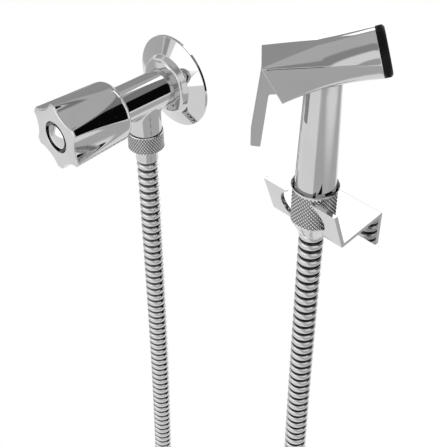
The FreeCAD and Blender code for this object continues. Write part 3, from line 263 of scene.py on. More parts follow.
@dataclass(frozen=True)
class GrooveShadedChrome:
    """Chrome with painted shade in its grooves: darker and duller where the mesh's groove attribute is near
    1.
    """

    name: str
    slot: str
    reflectance: float = 0.60
    painted_groove_shade: float = 0.06
    roughness: float = 0.06
    groove_shade_start: float = 0.35
    groove_shade_full: float = 0.85

    def build(self) -> bpy.types.Material:
        """Makes the material."""
        material, sheet = new_material(self.name)
        groove = sheet.number(sheet.add("Attribute", {"attribute_name": "groove"}).outputs["Fac"])
        # The grooves' darker colour is painted shade that stands in for the shadow inside them; depth is the
        # painted shade's share.
        depth = sheet.smooth(groove, self.groove_shade_start, self.groove_shade_full)
        colour = sheet.blend(depth, (self.reflectance,) * 3, (self.painted_groove_shade,) * 3)
        bump = sheet.add("Bump", Strength=0.04, Distance=0.0005, Height=sheet.noise(260.0, 2.0))
        shader = sheet.add("BsdfPrincipled", Base_Color=colour, Metallic=1.0,
                           Roughness=self.roughness + 0.2 * depth, Normal=bump.outputs["Normal"])
        sheet.surface(shader.outputs["BSDF"])
        return material


@dataclass(frozen=True)
class Moulded:
    """A moulded, rubber or ceramic surface with a fine grain."""

    name: str
    slot: str
    colour: tuple[float, float, float]
    roughness: float
    grain: float = 0.08
    grain_scale: float = 2200.0
    sheen: float = 0.5

    def build(self) -> bpy.types.Material:
        """Makes the material."""
        material, sheet = new_material(self.name)
        wear = sheet.smooth(sheet.noise(160.0, 3.0), 0.4, 0.7)
        colour = sheet.blend(wear, self.colour, tuple(1.25 * part + 0.004 for part in self.colour))
        bump = sheet.add("Bump", Strength=self.grain, Distance=0.0002,
                         Height=sheet.noise(self.grain_scale, 2.0))
        shader = sheet.add("BsdfPrincipled", Base_Color=colour, Metallic=0.0,
                           Roughness=self.roughness + 0.08 * wear, Normal=bump.outputs["Normal"])
        shader.inputs["Specular IOR Level"].default_value = self.sheen
        sheet.surface(shader.outputs["BSDF"])
        return material


@dataclass(frozen=True)
class Turned:
    """Bare metal from the lathe or the wire drawer, with fine tool marks."""

    name: str
    slot: str
    colour: tuple[float, float, float]
    roughness: float

    def build(self) -> bpy.types.Material:
        """Makes the material."""
        material, sheet = new_material(self.name)
        stain = sheet.smooth(sheet.noise(120.0, 3.0), 0.4, 0.75)
        colour = sheet.blend(stain, self.colour, tuple(0.8 * part for part in self.colour))
        bump = sheet.add("Bump", Strength=0.1, Distance=0.0002, Height=sheet.noise(900.0, 1.0))
        shader = sheet.add("BsdfPrincipled", Base_Color=colour, Metallic=1.0,
                           Roughness=self.roughness + 0.1 * stain, Normal=bump.outputs["Normal"])
        sheet.surface(shader.outputs["BSDF"])
        return material


class Finish(Enum):
    """Every finish that the object has."""

    CAST = Chrome("cast_chrome", "chrome_cast")
    SHEET = Chrome("sheet_chrome", "chrome_sheet", ripple=0.05, ripple_scale=40.0)
    # The knurl's and the hose's grooves get painted shade.
    KNURL = GrooveShadedChrome("knurled_chrome", "chrome_knurl", painted_groove_shade=0.1)
    HOSE = GrooveShadedChrome("hose_strip", "chrome_hose")
    BRASS = Turned("turned_brass", "brass", (0.62, 0.45, 0.2), 0.28)
    STEEL = Turned("drawn_steel", "steel", (0.5, 0.5, 0.51), 0.25)
    RUBBER = Moulded("black_rubber", "rubber", (0.02, 0.02, 0.02), 0.6, 0.15)
    CERAMIC = Moulded("lapped_ceramic", "ceramic", (0.78, 0.77, 0.73), 0.25, 0.02)
    PLASTIC = Moulded("black_plastic", "black_plastic", (0.003, 0.003, 0.003), 0.45, sheen=0.08)
    PLATE = Moulded("spray_plate", "spray_plate", (0.012, 0.012, 0.013), 0.42)


class Wardrobe:
    """The finished materials, each made once."""

    def __init__(self) -> None:
        """Builds every finish."""
        self.made = {finish: finish.value.build() for finish in Finish}

    def dress(self, piece: bpy.types.Object, finish: Finish) -> None:
        """Gives a piece one finish all over."""
        if piece.material_slots:
            for slot in piece.material_slots:
                slot.material = self.made[finish]
        else:
            piece.data.materials.append(self.made[finish])


@dataclass
class Corner:
    """A corner of a turned outline, with the radius of its rounding."""

    radius: float
    level: float
    rounding: float = 0.0


def rounded_outline(corners: Sequence[Corner], steps: int = 5) -> list[Vector]:
    """The points of a closed turned outline in the XZ plane.

    Args:
        corners: The corners in order.
        steps: Pieces of each rounding.

    Returns:
        Points, with each rounding as an arc.
    """
    places = [Vector((corner.radius, 0, corner.level)) for corner in corners]
    outline = []
    for i, corner in enumerate(corners):
        here = places[i]
        if corner.rounding <= 0:
            outline.append(here)
            continue
        back = (places[i - 1] - here).normalized()
        ahead = (places[(i + 1) % len(places)] - here).normalized()
        half = back.angle(ahead) / 2
        middle = here + (back + ahead).normalized() * (corner.rounding / math.sin(half))
        start = here + back * (corner.rounding / math.tan(half)) - middle
        end = here + ahead * (corner.rounding / math.tan(half)) - middle
        for step in range(steps + 1):
            outline.append(middle + start.slerp(end, step / steps) * corner.rounding)
    return outline


def turn_outline(mesh: bmesh.types.BMesh, outline: Sequence[Vector], segments: int) -> None:
    """Turns a closed outline in the XZ plane about Z.

    Args:
        mesh: The mesh that the skin goes into.
        outline: Points of the outline in order.
        segments: Flats round the turn.
    """
    verts = [mesh.verts.new(point) for point in outline]
    edges = []
    for before, after in zip([verts[-1], *verts], verts):
        if before.co.x > 0 or after.co.x > 0:
            edges.append(mesh.edges.new((before, after)))
    bmesh.ops.spin(mesh, geom=verts + edges, cent=(0, 0, 0), axis=(0, 0, 1), angle=FULL_TURN,
                   steps=segments, use_merge=True, use_duplicate=False)
    bmesh.ops.remove_doubles(mesh, verts=mesh.verts, dist=1e-7)
    bmesh.ops.recalc_face_normals(mesh, faces=mesh.faces)


def finish_piece(mesh: bmesh.types.BMesh, name: str, place: Matrix,
                 sharp_degrees: float = 30.0) -> bpy.types.Object:
    """Makes an object of a mesh, with its place in its mesh.

    Args:
        mesh: The shape, which is freed.
        name: The piece's name.
        place: Where the shape's own axes lie in the frame.
        sharp_degrees: Edges that turn by more stay sharp.

    Returns:
        The object, at the origin.
    """
    mesh.transform(place)
    data = bpy.data.meshes.new(name)
    mesh.to_mesh(data)
    mesh.free()
    data.shade_smooth()
    data.set_sharp_from_angle(angle=math.radians(sharp_degrees))
    piece = bpy.data.objects.new(name, data)
    bpy.context.scene.collection.objects.link(piece)
    return piece


def store_share(mesh: bmesh.types.BMesh, share: Callable[[Vector], float]) -> None:
    """Keeps a share from 0 to 1 at each vertex as the attribute groove, which is where the grooved chrome
    paints shade.
    """
    layer = mesh.verts.layers.float.new("groove")
    for vert in mesh.verts:
        vert[layer] = share(vert.co)


@dataclass
class Knurl:
    """A diamond knurl: two sets of grooves that cross round a band."""

    low: float
    high: float
    around: int
    rows: int
    depth: float
    steps: int = 4

    def levels(self) -> list[float]:
        """The levels of the band's rows of vertices, upwards."""
        count = self.rows * self.steps
        return [self.low + (self.high - self.low) * i / count for i in range(count + 1)]

    def groove(self, point: Vector) -> float:
        """How deep the groove is at a point of the band, 0 on a diamond's tip and 1 in a groove."""
        if not self.low - 1e-6 <= point.z <= self.high + 1e-6:
            return 0.0
        turn = self.around * math.atan2(point.y, point.x) / FULL_TURN
        rise = self.rows * (point.z - self.low) / (self.high - self.low)
        away = []
        for phase in (turn + rise, turn - rise):
            away.append(abs(phase - round(phase)))
        return 1 - 2 * min(away)

    def press(self, mesh: bmesh.types.BMesh, outer: float) -> None:
        """Pushes the band's outer vertices in by the knurl.

        Args:
            mesh: The turned shape, about Z.
            outer: Vertices within this radius are left alone.
        """
        # The groove share pushes the band in and also marks where the material paints shade.
        store_share(mesh, self.groove)
        layer = mesh.verts.layers.float["groove"]
        for vert in mesh.verts:
            across = math.hypot(vert.co.x, vert.co.y)
            if across < outer:
                vert[layer] = 0.0
                continue
            shrink = 1 - self.depth * vert[layer] / across
            vert.co.x *= shrink
            vert.co.y *= shrink


def prism(corners: Sequence[Corner], half_width: float) -> bmesh.types.BMesh:
    """A closed outline in the XZ plane made as wide as wanted along Y.

    Args:
        corners: The outline's corners, whose radius is their X.
        half_width: How far it reaches to each side.

    Returns:
        The solid's mesh.
    """
    mesh = bmesh.new()
    verts = [mesh.verts.new(point - Vector((0, half_width, 0))) for point in rounded_outline(corners)]
    face = mesh.faces.new(verts)
    made = bmesh.ops.extrude_face_region(mesh, geom=[face])["geom"]
    far = [item for item in made if isinstance(item, bmesh.types.BMVert)]
    bmesh.ops.translate(mesh, verts=far, vec=(0, 2 * half_width, 0))
    bmesh.ops.recalc_face_normals(mesh, faces=mesh.faces)
    return mesh


def rod(radius: float, start: Vector, end: Vector, segments: int = 64) -> bmesh.types.BMesh:
    """A round rod between two points."""
    mesh = bmesh.new()
    run = end - start
    place = Matrix.Translation((start + end) / 2) @ run.to_track_quat("Z", "Y").to_matrix().to_4x4()
    bmesh.ops.create_cone(mesh, cap_ends=True, segments=segments, radius1=radius, radius2=radius,
                          depth=run.length, matrix=place)
    return mesh


def block(low: Sequence[float], high: Sequence[float]) -> bmesh.types.BMesh:
    """A box between two corners."""
    mesh = bmesh.new()
    middle = (Vector(low) + Vector(high)) / 2
    sides = Vector(high) - Vector(low)
    bmesh.ops.create_cube(mesh, size=1.0, matrix=Matrix.Translation(middle) @ Matrix.Diagonal((*sides, 1.0)))
    return mesh


def keep_above(mesh: bmesh.types.BMesh, point: Sequence[float], normal: Sequence[float]) -> None:
    """Cuts a solid by a plane and keeps the side that the normal points to."""
    everything = [*mesh.verts, *mesh.edges, *mesh.faces]
    bmesh.ops.bisect_plane(mesh, geom=everything, plane_co=point, plane_no=normal, clear_inner=True)
    bmesh.ops.holes_fill(mesh, edges=[edge for edge in mesh.edges if edge.is_boundary], sides=0)


@dataclass
class Workshop:
    """Joins solids to a first one and cuts others out of it."""

    base: bmesh.types.BMesh
    steps: list[tuple[str, bmesh.types.BMesh]] = field(default_factory=list)

    def join(self, *solids: bmesh.types.BMesh) -> Workshop:
        """Adds solids that are joined on."""
        self.steps += [("UNION", solid) for solid in solids]
        return self

    def cut(self, *solids: bmesh.types.BMesh) -> Workshop:
        """Adds solids that are cut out."""
        self.steps += [("DIFFERENCE", solid) for solid in solids]
        return self

    def result(self) -> bmesh.types.BMesh:
        """Carries the steps out in order and returns the shape."""
        piece = self._holder(self.base)
        tools = []
        for operation, solid in self.steps:
            tools.append(self._holder(solid))
            modifier = piece.modifiers.new(operation.lower(), "BOOLEAN")
            modifier.operation = operation
            modifier.solver = "EXACT"
            modifier.object = tools[-1]
        evaluated = piece.evaluated_get(bpy.context.evaluated_depsgraph_get())
        mesh = bmesh.new()
        mesh.from_mesh(evaluated.to_mesh())
        evaluated.to_mesh_clear()
        for holder in (piece, *tools):
            data = holder.data
            bpy.data.objects.remove(holder)
            bpy.data.meshes.remove(data)
        bmesh.ops.remove_doubles(mesh, verts=mesh.verts, dist=0.002 * MM)
        bmesh.ops.dissolve_limit(mesh, angle_limit=math.radians(0.4), verts=mesh.verts, edges=mesh.edges)
        bmesh.ops.recalc_face_normals(mesh, faces=mesh.faces)
        return mesh

    def _holder(self, solid: bmesh.types.BMesh) -> bpy.types.Object:
        """Puts a solid into an object for the boolean modifiers."""
        bmesh.ops.recalc_face_normals(solid, faces=solid.faces)
        data = bpy.data.meshes.new("solid")
        solid.to_mesh(data)
        solid.free()
        holder = bpy.data.objects.new("solid", data)
        bpy.context.scene.collection.objects.link(holder)
        return holder


def ease_edges(mesh: bmesh.types.BMesh, width: float, sharpest: float = 30.0, segments: int = 2) -> None:
    """Rounds every edge that turns by more than an angle.

    Args:
        mesh: The shape.
        width: How far the rounding reaches from the edge.
        sharpest: Edges that turn by fewer degrees are left alone.
        segments: Pieces of each rounding.
    """
    limit = math.radians(sharpest)
    edges = [edge for edge in mesh.edges if len(edge.link_faces) == 2 and edge.calc_face_angle(0.0) > limit]
    bmesh.ops.bevel(mesh, geom=edges, offset=width, offset_type="OFFSET", segments=segments,
                    profile=0.5, affect="EDGES", clamp_overlap=True, material=-1)
    bmesh.ops.recalc_face_normals(mesh, faces=mesh.faces)


def flatten_shading(piece: bpy.types.Object) -> None:
    """Lets large flat faces keep their own normals beside small roundings."""
    modifier = piece.modifiers.new("flat_faces", "WEIGHTED_NORMAL")
    modifier.keep_sharp = True
    modifier.weight = 80


@dataclass
class Studio:
    """Floor, flags, lamps and the camera."""

    centre: Vector = field(default_factory=lambda: Vector((0.07, -0.04, -0.06)))
    floor_level: float = -0.74
    camera_place: tuple[float, float, float] = (0.3707, -0.3211, 0.2823)
    camera_pitch: float = 39.26
    camera_azimuth: float = 45.48
    focal_pixels: float = 875.4
    ambient: float = 0.75

    def build(self) -> None:
        """Sets the whole studio up."""
        self.camera()
        self.world()
        self.floor()
        for flag in FLAGS:
            flag.build()
        for lamp in LAMPS:
            lamp.build(self.centre)
        LOG.info("studio: %d flags, %d lamps", len(FLAGS), len(LAMPS))

    def camera(self) -> None:
        """Makes the camera of the photograph's view."""
        lens = bpy.data.cameras.new("camera")
        lens.sensor_width = SENSOR_WIDTH_MM
        lens.lens = self.focal_pixels * SENSOR_WIDTH_MM / PHOTO_PIXELS
        lens.clip_start = 0.01
        camera = bpy.data.objects.new("camera", lens)
        camera.location = self.camera_place
        pitch = math.radians(90 - self.camera_pitch)
        camera.rotation_euler = Euler((pitch, 0, math.radians(self.camera_azimuth)))
        bpy.context.scene.collection.objects.link(camera)
        bpy.context.scene.camera = camera
        bpy.context.scene.view_settings.view_transform = "Standard"

    def world(self) -> None:
        """A white surround for the camera and for reflections, and a plain level for the rest."""
        world = bpy.data.worlds.new("surround")
        bpy.context.scene.world = world
        world.use_nodes = True
        sheet = ShaderSheet(world.node_tree)
        plain = sheet.add("Background", Strength=self.ambient)
        plain.inputs["Color"].default_value = (1, 1, 1, 1)
        white = sheet.add("Background", Strength=1.0)
        white.inputs["Color"].default_value = (1, 1, 1, 1)
        chosen = sheet.add("MixShader")
        sheet.tree.links.new(seen_share(sheet).socket, chosen.inputs[0])
        sheet.tree.links.new(plain.outputs[0], chosen.inputs[1])
        sheet.tree.links.new(white.outputs[0], chosen.inputs[2])
        sheet.surface(chosen.outputs[0], "OutputWorld")

    def floor(self) -> None:
        """A pale floor under the hanging hose."""
        mesh = bmesh.new()
        bmesh.ops.create_grid(mesh, x_segments=1, y_segments=1, size=6.0)
        floor = finish_piece(mesh, "floor", Matrix.Translation((0, 0, self.floor_level)))
        material, sheet = new_material("pale_floor")
        matt = sheet.add("BsdfDiffuse", Roughness=0.5)
        matt.inputs["Color"].default_value = (0.8, 0.8, 0.8, 1)
        white = sheet.add("Emission", Strength=1.0)
        chosen = sheet.add("MixShader")
        sheet.tree.links.new(seen_share(sheet).socket, chosen.inputs[0])
        sheet.tree.links.new(matt.outputs[0], chosen.inputs[1])
        sheet.tree.links.new(white.outputs[0], chosen.inputs[2])
        sheet.surface(chosen.outputs[0])
        floor.data.materials.append(material)


def seen_share(sheet: ShaderSheet) -> Number:
    """1 for rays from the camera, a reflection or glass, and 0 for light that falls on things."""
    path = sheet.add("LightPath")
    camera, glossy, through = (sheet.number(path.outputs[name])
                               for name in ("Is Camera Ray", "Is Glossy Ray", "Is Transmission Ray"))
    return camera.highest(glossy).highest(through)


def direction(azimuth: float, elevation: float) -> Vector:
    """The unit vector at an azimuth from +X towards +Y and an elevation, in degrees."""
    across = math.cos(math.radians(elevation))
    turn = math.radians(azimuth)
    return Vector((across * math.cos(turn), across * math.sin(turn), math.sin(math.radians(elevation))))


def facing(centre: Vector, azimuth: float, elevation: float, distance: float) -> Matrix:
    """The place of something that looks at the centre from a direction, its own X level."""
    ray = direction(azimuth, elevation)
    turn = ray.to_track_quat("Z", "Y").to_matrix().to_4x4()
    return Matrix.Translation(centre + ray * distance) @ turn


@dataclass(frozen=True)
class Flag:
    """A black, grey or white card that only reflections see, with soft edges.

    Angles are in degrees, seen from the place that it faces.
    """

    name: str
    azimuth: float
    elevation: float
    half_width: float
    half_height: float
    level: float
    softness: float = 0.3
    distance: float = 1.5
    faces: tuple[float, float, float] = (0.07, -0.04, -0.06)

    def build(self) -> None:
        """Hangs the card."""
        mesh = bmesh.new()
        bmesh.ops.create_grid(mesh, x_segments=1, y_segments=1, size=1.0)
        data = bpy.data.meshes.new(self.name)
        mesh.to_mesh(data)
        mesh.free()
        card = bpy.data.objects.new(self.name, data)
        bpy.context.scene.collection.objects.link(card)
        place = facing(Vector(self.faces), self.azimuth, self.elevation, self.distance)
        card.matrix_world = place @ Matrix.Diagonal((
            self.distance * math.tan(math.radians(self.half_width)),
            self.distance * math.tan(math.radians(self.half_height)), 1.0, 1.0))
        material, sheet = new_material(self.name)
        place = sheet.add("SeparateXYZ", Vector=sheet.add("TexCoord").outputs["Object"])
        cover = None
        for axis in ("X", "Y"):
            out = sheet.number(place.outputs[axis]).size()
            inside = 1.0 - sheet.smooth(out, 1.0 - self.softness, 1.0)
            cover = inside if cover is None else cover * inside
        glow = sheet.add("Emission", Strength=1.0)
        glow.inputs["Color"].default_value = (self.level, self.level, self.level, 1)
        clear = sheet.add("BsdfTransparent")
        chosen = sheet.add("MixShader")
        sheet.tree.links.new(cover.socket, chosen.inputs[0])
        sheet.tree.links.new(clear.outputs[0], chosen.inputs[1])
        sheet.tree.links.new(glow.outputs[0], chosen.inputs[2])
        sheet.surface(chosen.outputs[0])
        data.materials.append(material)
        card.visible_camera = False
        card.visible_diffuse = False
        card.visible_shadow = False
        card.visible_transmission = False


@dataclass(frozen=True)
class Lamp:
    """A soft square lamp that faces the middle of the studio and shows in no reflection."""

    name: str
    azimuth: float
    elevation: float
    distance: float
    side: float
    power: float

    def build(self, centre: Vector) -> None:
        """Hangs the lamp."""
        light = bpy.data.lights.new(self.name, "AREA")
        light.shape = "SQUARE"
        light.size = self.side
        light.energy = self.power
        lamp = bpy.data.objects.new(self.name, light)
        lamp.matrix_world = facing(centre, self.azimuth, self.elevation, self.distance)
        lamp.visible_glossy = False
        bpy.context.scene.collection.objects.link(lamp)


FLAGS = (
    Flag("ceiling_flag", 120, 80, 48, 48, 0.62, 0.4),
    Flag("camera_ceiling_flag", -75, 58, 32, 16, 0.36, 0.5, 1.2),
    Flag("back_flag", 140, 30, 38, 20, 0.42, 0.3, 1.3),
    Flag("back_softbox", 100, -7, 31, 16, 1.9, 0.12, 1.2),
    Flag("head_rim_flag", 146, -9, 17, 30, 0.38, 0.15, 1.1),
    Flag("right_back_flag", 70, 48, 34, 14, 0.28, 0.3, 1.25),
    Flag("right_black_flag", 32, 13, 20, 27, 0.004, 0.06, 1.1),
    Flag("front_softbox", -104, 0, 26, 16, 1.9, 0.15, 1.2),
    Flag("left_front_flag", -166, -8, 24, 20, 0.6, 0.25, 1.2),
    Flag("left_dark_flag", -141, 3, 5, 18, 0.45, 0.5, 1.1),
    Flag("floor_flag", 10, -40, 66, 22, 0.58, 0.45, 0.75),
    Flag("front_grey_flag", -49, 2, 22, 16, 0.5, 0.4, 1.0),
    Flag("crease_flag", -49, 2, 9.5, 18, 0.01, 0.1, 0.12, (0.1413, -0.0454, 0.0750)),
    Flag("hook_card", 131, 46, 10.5, 7.5, 1.9, 0.12, 0.3, (0.150, -0.018, -0.014)),
)

LAMPS = (
    Lamp("key", -100, 35, 1.7, 0.8, 14.0),
    Lamp("fill", 20, 50, 1.9, 1.2, 10.0),
)


@dataclass
class MetalHose:
    """The ribbed metal hose, which hangs in one loop from the valve to the handset."""

    diameter: float = 14.2 * MM
    length: float = 1.2
    pitch: float = 5.9 * MM
    band_share: float = 0.64
    before_next: float = 0.97
    band_round: float = 0.42
    band_foot: float = 0.9
    groove_depth: float = 0.95 * MM
    segments: int = 40
    band_steps: int = 6
    route: tuple[tuple[float, float, float], ...] = (
        (0.0, -0.0265, -0.0470),
        (0.0, -0.0265, -0.1860),
        (-0.0028, -0.0269, -0.3300),
        (-0.0092, -0.0271, -0.4560),
        (-0.0113, -0.0273, -0.5320),
        (0.0106, -0.0275, -0.5710),
        (0.0490, -0.0277, -0.5934),
        (0.0936, -0.0279, -0.5934),
        (0.1320, -0.0282, -0.5710),
        (0.1539, -0.0285, -0.5320),
        (0.1516, -0.0287, -0.4560),
        (0.1450, -0.0289, -0.3260),
        (0.1425, -0.0292, -0.1760),
        (0.1425, -0.0292, -0.0225),
    )

    def build(self, wardrobe: Wardrobe, fittings: Sequence[bpy.types.Object]) -> bpy.types.Object:
        """Args:
            wardrobe: The materials.
            fittings: The nuts, ferrules and washers on the hose; not used.

        Returns:
            The hose's object.
        """
        line = self.centre_line()
        mesh = self.ribbed_tube(sum((b - a).length for a, b in zip(line, line[1:])))
        self.bend(mesh, line)
        bmesh.ops.recalc_face_normals(mesh, faces=mesh.faces)
        hose = finish_piece(mesh, "ribbed_hose", Matrix.Identity(4), 75.0)
        wardrobe.dress(hose, Finish.HOSE)
        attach(hose, "root")
        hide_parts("hose")
        return hose

    def centre_line(self) -> list[Vector]:
        """Points close together along the smooth line through the route's control points."""
        curve = bpy.data.curves.new("hose_route", "CURVE")
        curve.dimensions = "3D"
        curve.resolution_u = 24
        spline = curve.splines.new("NURBS")
        spline.points.add(len(self.route) - 1)
        for point, place in zip(spline.points, self.route):
            point.co = (*place, 1.0)
        spline.order_u = 3
        spline.use_endpoint_u = True
        holder = bpy.data.objects.new("hose_route", curve)
        line = bpy.data.meshes.new_from_object(holder)
        points = [vert.co.copy() for vert in line.vertices]
        bpy.data.objects.remove(holder)
        bpy.data.curves.remove(curve)
        bpy.data.meshes.remove(line)
        return points

    def ribbed_tube(self, length: float) -> bmesh.types.BMesh:
        """A straight ribbed tube along Z from 0 to a length.

        Args:
            length: How long it is.

        Returns:
            The tube, with its groove attribute.
        """
        ribs = round(length / self.pitch)
        pitch = length / ribs
        outer = self.diameter / 2
        profile = []
        for rib in range(ribs):
            profile.append((outer - self.groove_depth, rib * pitch))
            profile.append((outer - self.groove_depth, (rib + self.before_next - self.band_share) * pitch))
            for step in range(self.band_steps + 1):
                share = step / self.band_steps
                bulge = math.sqrt(max(0.0, 1 - (2 * share - 1) ** 2))
                radius = outer - self.band_round * self.groove_depth * (1 - bulge)
                left = self.band_share * (1 - self.before_next * share)
                profile.append((radius, (rib + 1 - left) * pitch))
        profile.append((outer - self.groove_depth, length))
        mesh = bmesh.new()
        verts = [mesh.verts.new((radius, 0, level)) for radius, level in profile]
        edges = [mesh.edges.new(pair) for pair in zip(verts, verts[1:])]
        bmesh.ops.spin(mesh, geom=verts + edges, cent=(0, 0, 0), axis=(0, 0, 1), angle=FULL_TURN,
                       steps=self.segments, use_merge=True, use_duplicate=False)
        bmesh.ops.remove_doubles(mesh, verts=mesh.verts, dist=1e-7)
        bmesh.ops.holes_fill(mesh, edges=[edge for edge in mesh.edges if edge.is_boundary], sides=0)
        inner = self.band_round * self.groove_depth
        foot = outer - inner * self.band_foot
        fall = self.groove_depth - inner
        # The groove attribute marks where the hose's material paints shade into the grooves.
        store_share(mesh, lambda point: min(1.0, max(0.0, (foot - math.hypot(point.x, point.y)) / fall)))
        return mesh

    def bend(self, mesh: bmesh.types.BMesh, line: Sequence[Vector]) -> None:
        """Lays the straight tube along the line.

        Args:
            mesh: The tube, along Z from 0.
            line: Points along the line.
        """
        places = [0.0]
        for before, after in zip(line, line[1:]):
            places.append(places[-1] + (after - before).length)
        tangents = []
        for i in range(len(line)):
            tangents.append((line[min(i + 1, len(line) - 1)] - line[max(i - 1, 0)]).normalized())
        side = Vector((0, 1, 0))
        frames = []
        for tangent in tangents:
            side = (side - tangent * side.dot(tangent)).normalized()
            frames.append((side.copy(), tangent.cross(side)))
        i = 0
        for vert in sorted(mesh.verts, key=lambda v: v.co.z):
            while i < len(places) - 2 and places[i + 1] < vert.co.z:
                i += 1
            share = min(1.0, max(0.0, (vert.co.z - places[i]) / (places[i + 1] - places[i])))
            middle = line[i].lerp(line[i + 1], share)
            across = frames[i][0].lerp(frames[i + 1][0], share).normalized()
            beside = frames[i][1].lerp(frames[i + 1][1], share).normalized()
            vert.co = middle + across * vert.co.x + beside * vert.co.y


@dataclass
class HoseNuts:
    """The two knurled nuts of the hose, and the sleeve in the cone nut."""

    valve_axis: tuple[float, float] = (0.0, -0.0265)
    handset_axis: tuple[float, float] = (0.1425, -0.0292)
    thread_bore: float = 10.45 * MM
    sleeve_bore: float = 7.35 * MM
    cone_end: float = -22.3 * MM

    def valve_end(self) -> bpy.types.Object:
        """The nut under the valve."""
        knurl = Knurl(low=-36.4 * MM, high=-25.6 * MM, around=40, rows=4, depth=0.5 * MM)
        low, high = (box_level("valve_end_nut", end) for end in (0, 1))
        outer = 11.8 * MM
        corners = [
            Corner(self.thread_bore, high - 1.0 * MM),
            Corner(10.75 * MM, high),
            Corner(outer - 0.5 * MM, high, 0.15 * MM),
            *[Corner(outer, level) for level in reversed(knurl.levels())],
            Corner(outer, low + 1.6 * MM, 0.4 * MM),
            Corner(outer - 1.9 * MM, low, 0.25 * MM),
            Corner(self.sleeve_bore, low),
            Corner(self.sleeve_bore, low + 1.9 * MM),
            Corner(self.thread_bore, low + 1.9 * MM),
        ]
        return self.nut("knurled_valve_nut", "valve_end_nut", corners, knurl, self.valve_axis, 11.2 * MM)

    def handset_end(self) -> bpy.types.Object:
        """The cone-shaped nut under the handset."""
        knurl = Knurl(low=-12.9 * MM, high=6.3 * MM, around=36, rows=8, depth=0.55 * MM)
        high = box_level("cone_nut", 1)
        grip = 12.25 * MM
        rim = 13.0 * MM
        corners = [
            Corner(self.thread_bore, 5.0 * MM),
            Corner(11.4 * MM, 6.8 * MM),
            Corner(rim - 0.25 * MM, high, 0.06 * MM),
            Corner(rim, high - 0.25 * MM, 0.06 * MM),
            Corner(rim - 0.1 * MM, high - 0.8 * MM, 0.3 * MM),
            *[Corner(grip, level) for level in reversed(knurl.levels())],
            Corner(grip - 0.1 * MM, -13.4 * MM, 0.4 * MM),
            Corner(8.1 * MM, self.cone_end + 1.0 * MM, 0.8 * MM),
            Corner(7.8 * MM, self.cone_end, 0.2 * MM),
            Corner(self.sleeve_bore, self.cone_end),
            Corner(self.sleeve_bore, -8.5 * MM),
            Corner(self.thread_bore, -8.5 * MM),
        ]
        return self.nut("knurled_cone_nut", "cone_nut", corners, knurl, self.handset_axis, 11.9 * MM)

    def nut(self, name: str, node: str, corners: Sequence[Corner], knurl: Knurl,
            axis: tuple[float, float], outer: float) -> bpy.types.Object:
        """Turns and knurls a nut.

        Args:
            name: The piece's name.
            node: The solid that it stands for.
            corners: Its outline.
            knurl: Its knurl.
            axis: The place of its axis.
            outer: The knurl leaves what lies within this radius.

        Returns:
            The nut's object.
        """
        mesh = bmesh.new()
        segments = knurl.around * knurl.steps
        turn_outline(mesh, rounded_outline(corners), segments)
        knurl.press(mesh, outer)
        piece = finish_piece(mesh, name, Matrix.Translation((*axis, 0)), 35.0)
        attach(piece, "root")
        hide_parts(node)
        return piece

    def build(self, wardrobe: Wardrobe) -> list[bpy.types.Object]:
        """Makes both nuts and the sleeve."""
        nuts = [self.valve_end(), self.handset_end()]
        for nut in nuts:
            wardrobe.dress(nut, Finish.KNURL)
        return [*nuts, self.sleeve(wardrobe)]

    def sleeve(self, wardrobe: Wardrobe) -> bpy.types.Object:
        """Makes the hose's end sleeve inside the cone nut."""
        corners = [
            Corner(4 * MM, -7 * MM),
            Corner(9.4 * MM, -7 * MM),
            Corner(9.4 * MM, -8.5 * MM),
            Corner(7.3 * MM, -8.5 * MM),
            Corner(7.3 * MM, self.cone_end - 0.1 * MM),
            Corner(4 * MM, self.cone_end - 0.1 * MM),
        ]
        mesh = bmesh.new()
        turn_outline(mesh, rounded_outline(corners), 64)
        sleeve = finish_piece(mesh, "handset_sleeve", Matrix.Translation((*self.handset_axis, 0)), 35.0)
        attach(sleeve, "root")
        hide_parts("handset_end_ferrule")
        wardrobe.dress(sleeve, Finish.CAST)
        return sleeve


def box_level(node: str, end: int) -> float:
    """The lowest level of a node for end 0, or its highest for end 1."""
    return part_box(node)[end].z


def valve_axis() -> Matrix:
    """The valve's axis: local Z runs from the wall into the room."""
    return Matrix.Rotation(math.radians(90), 4, "X")


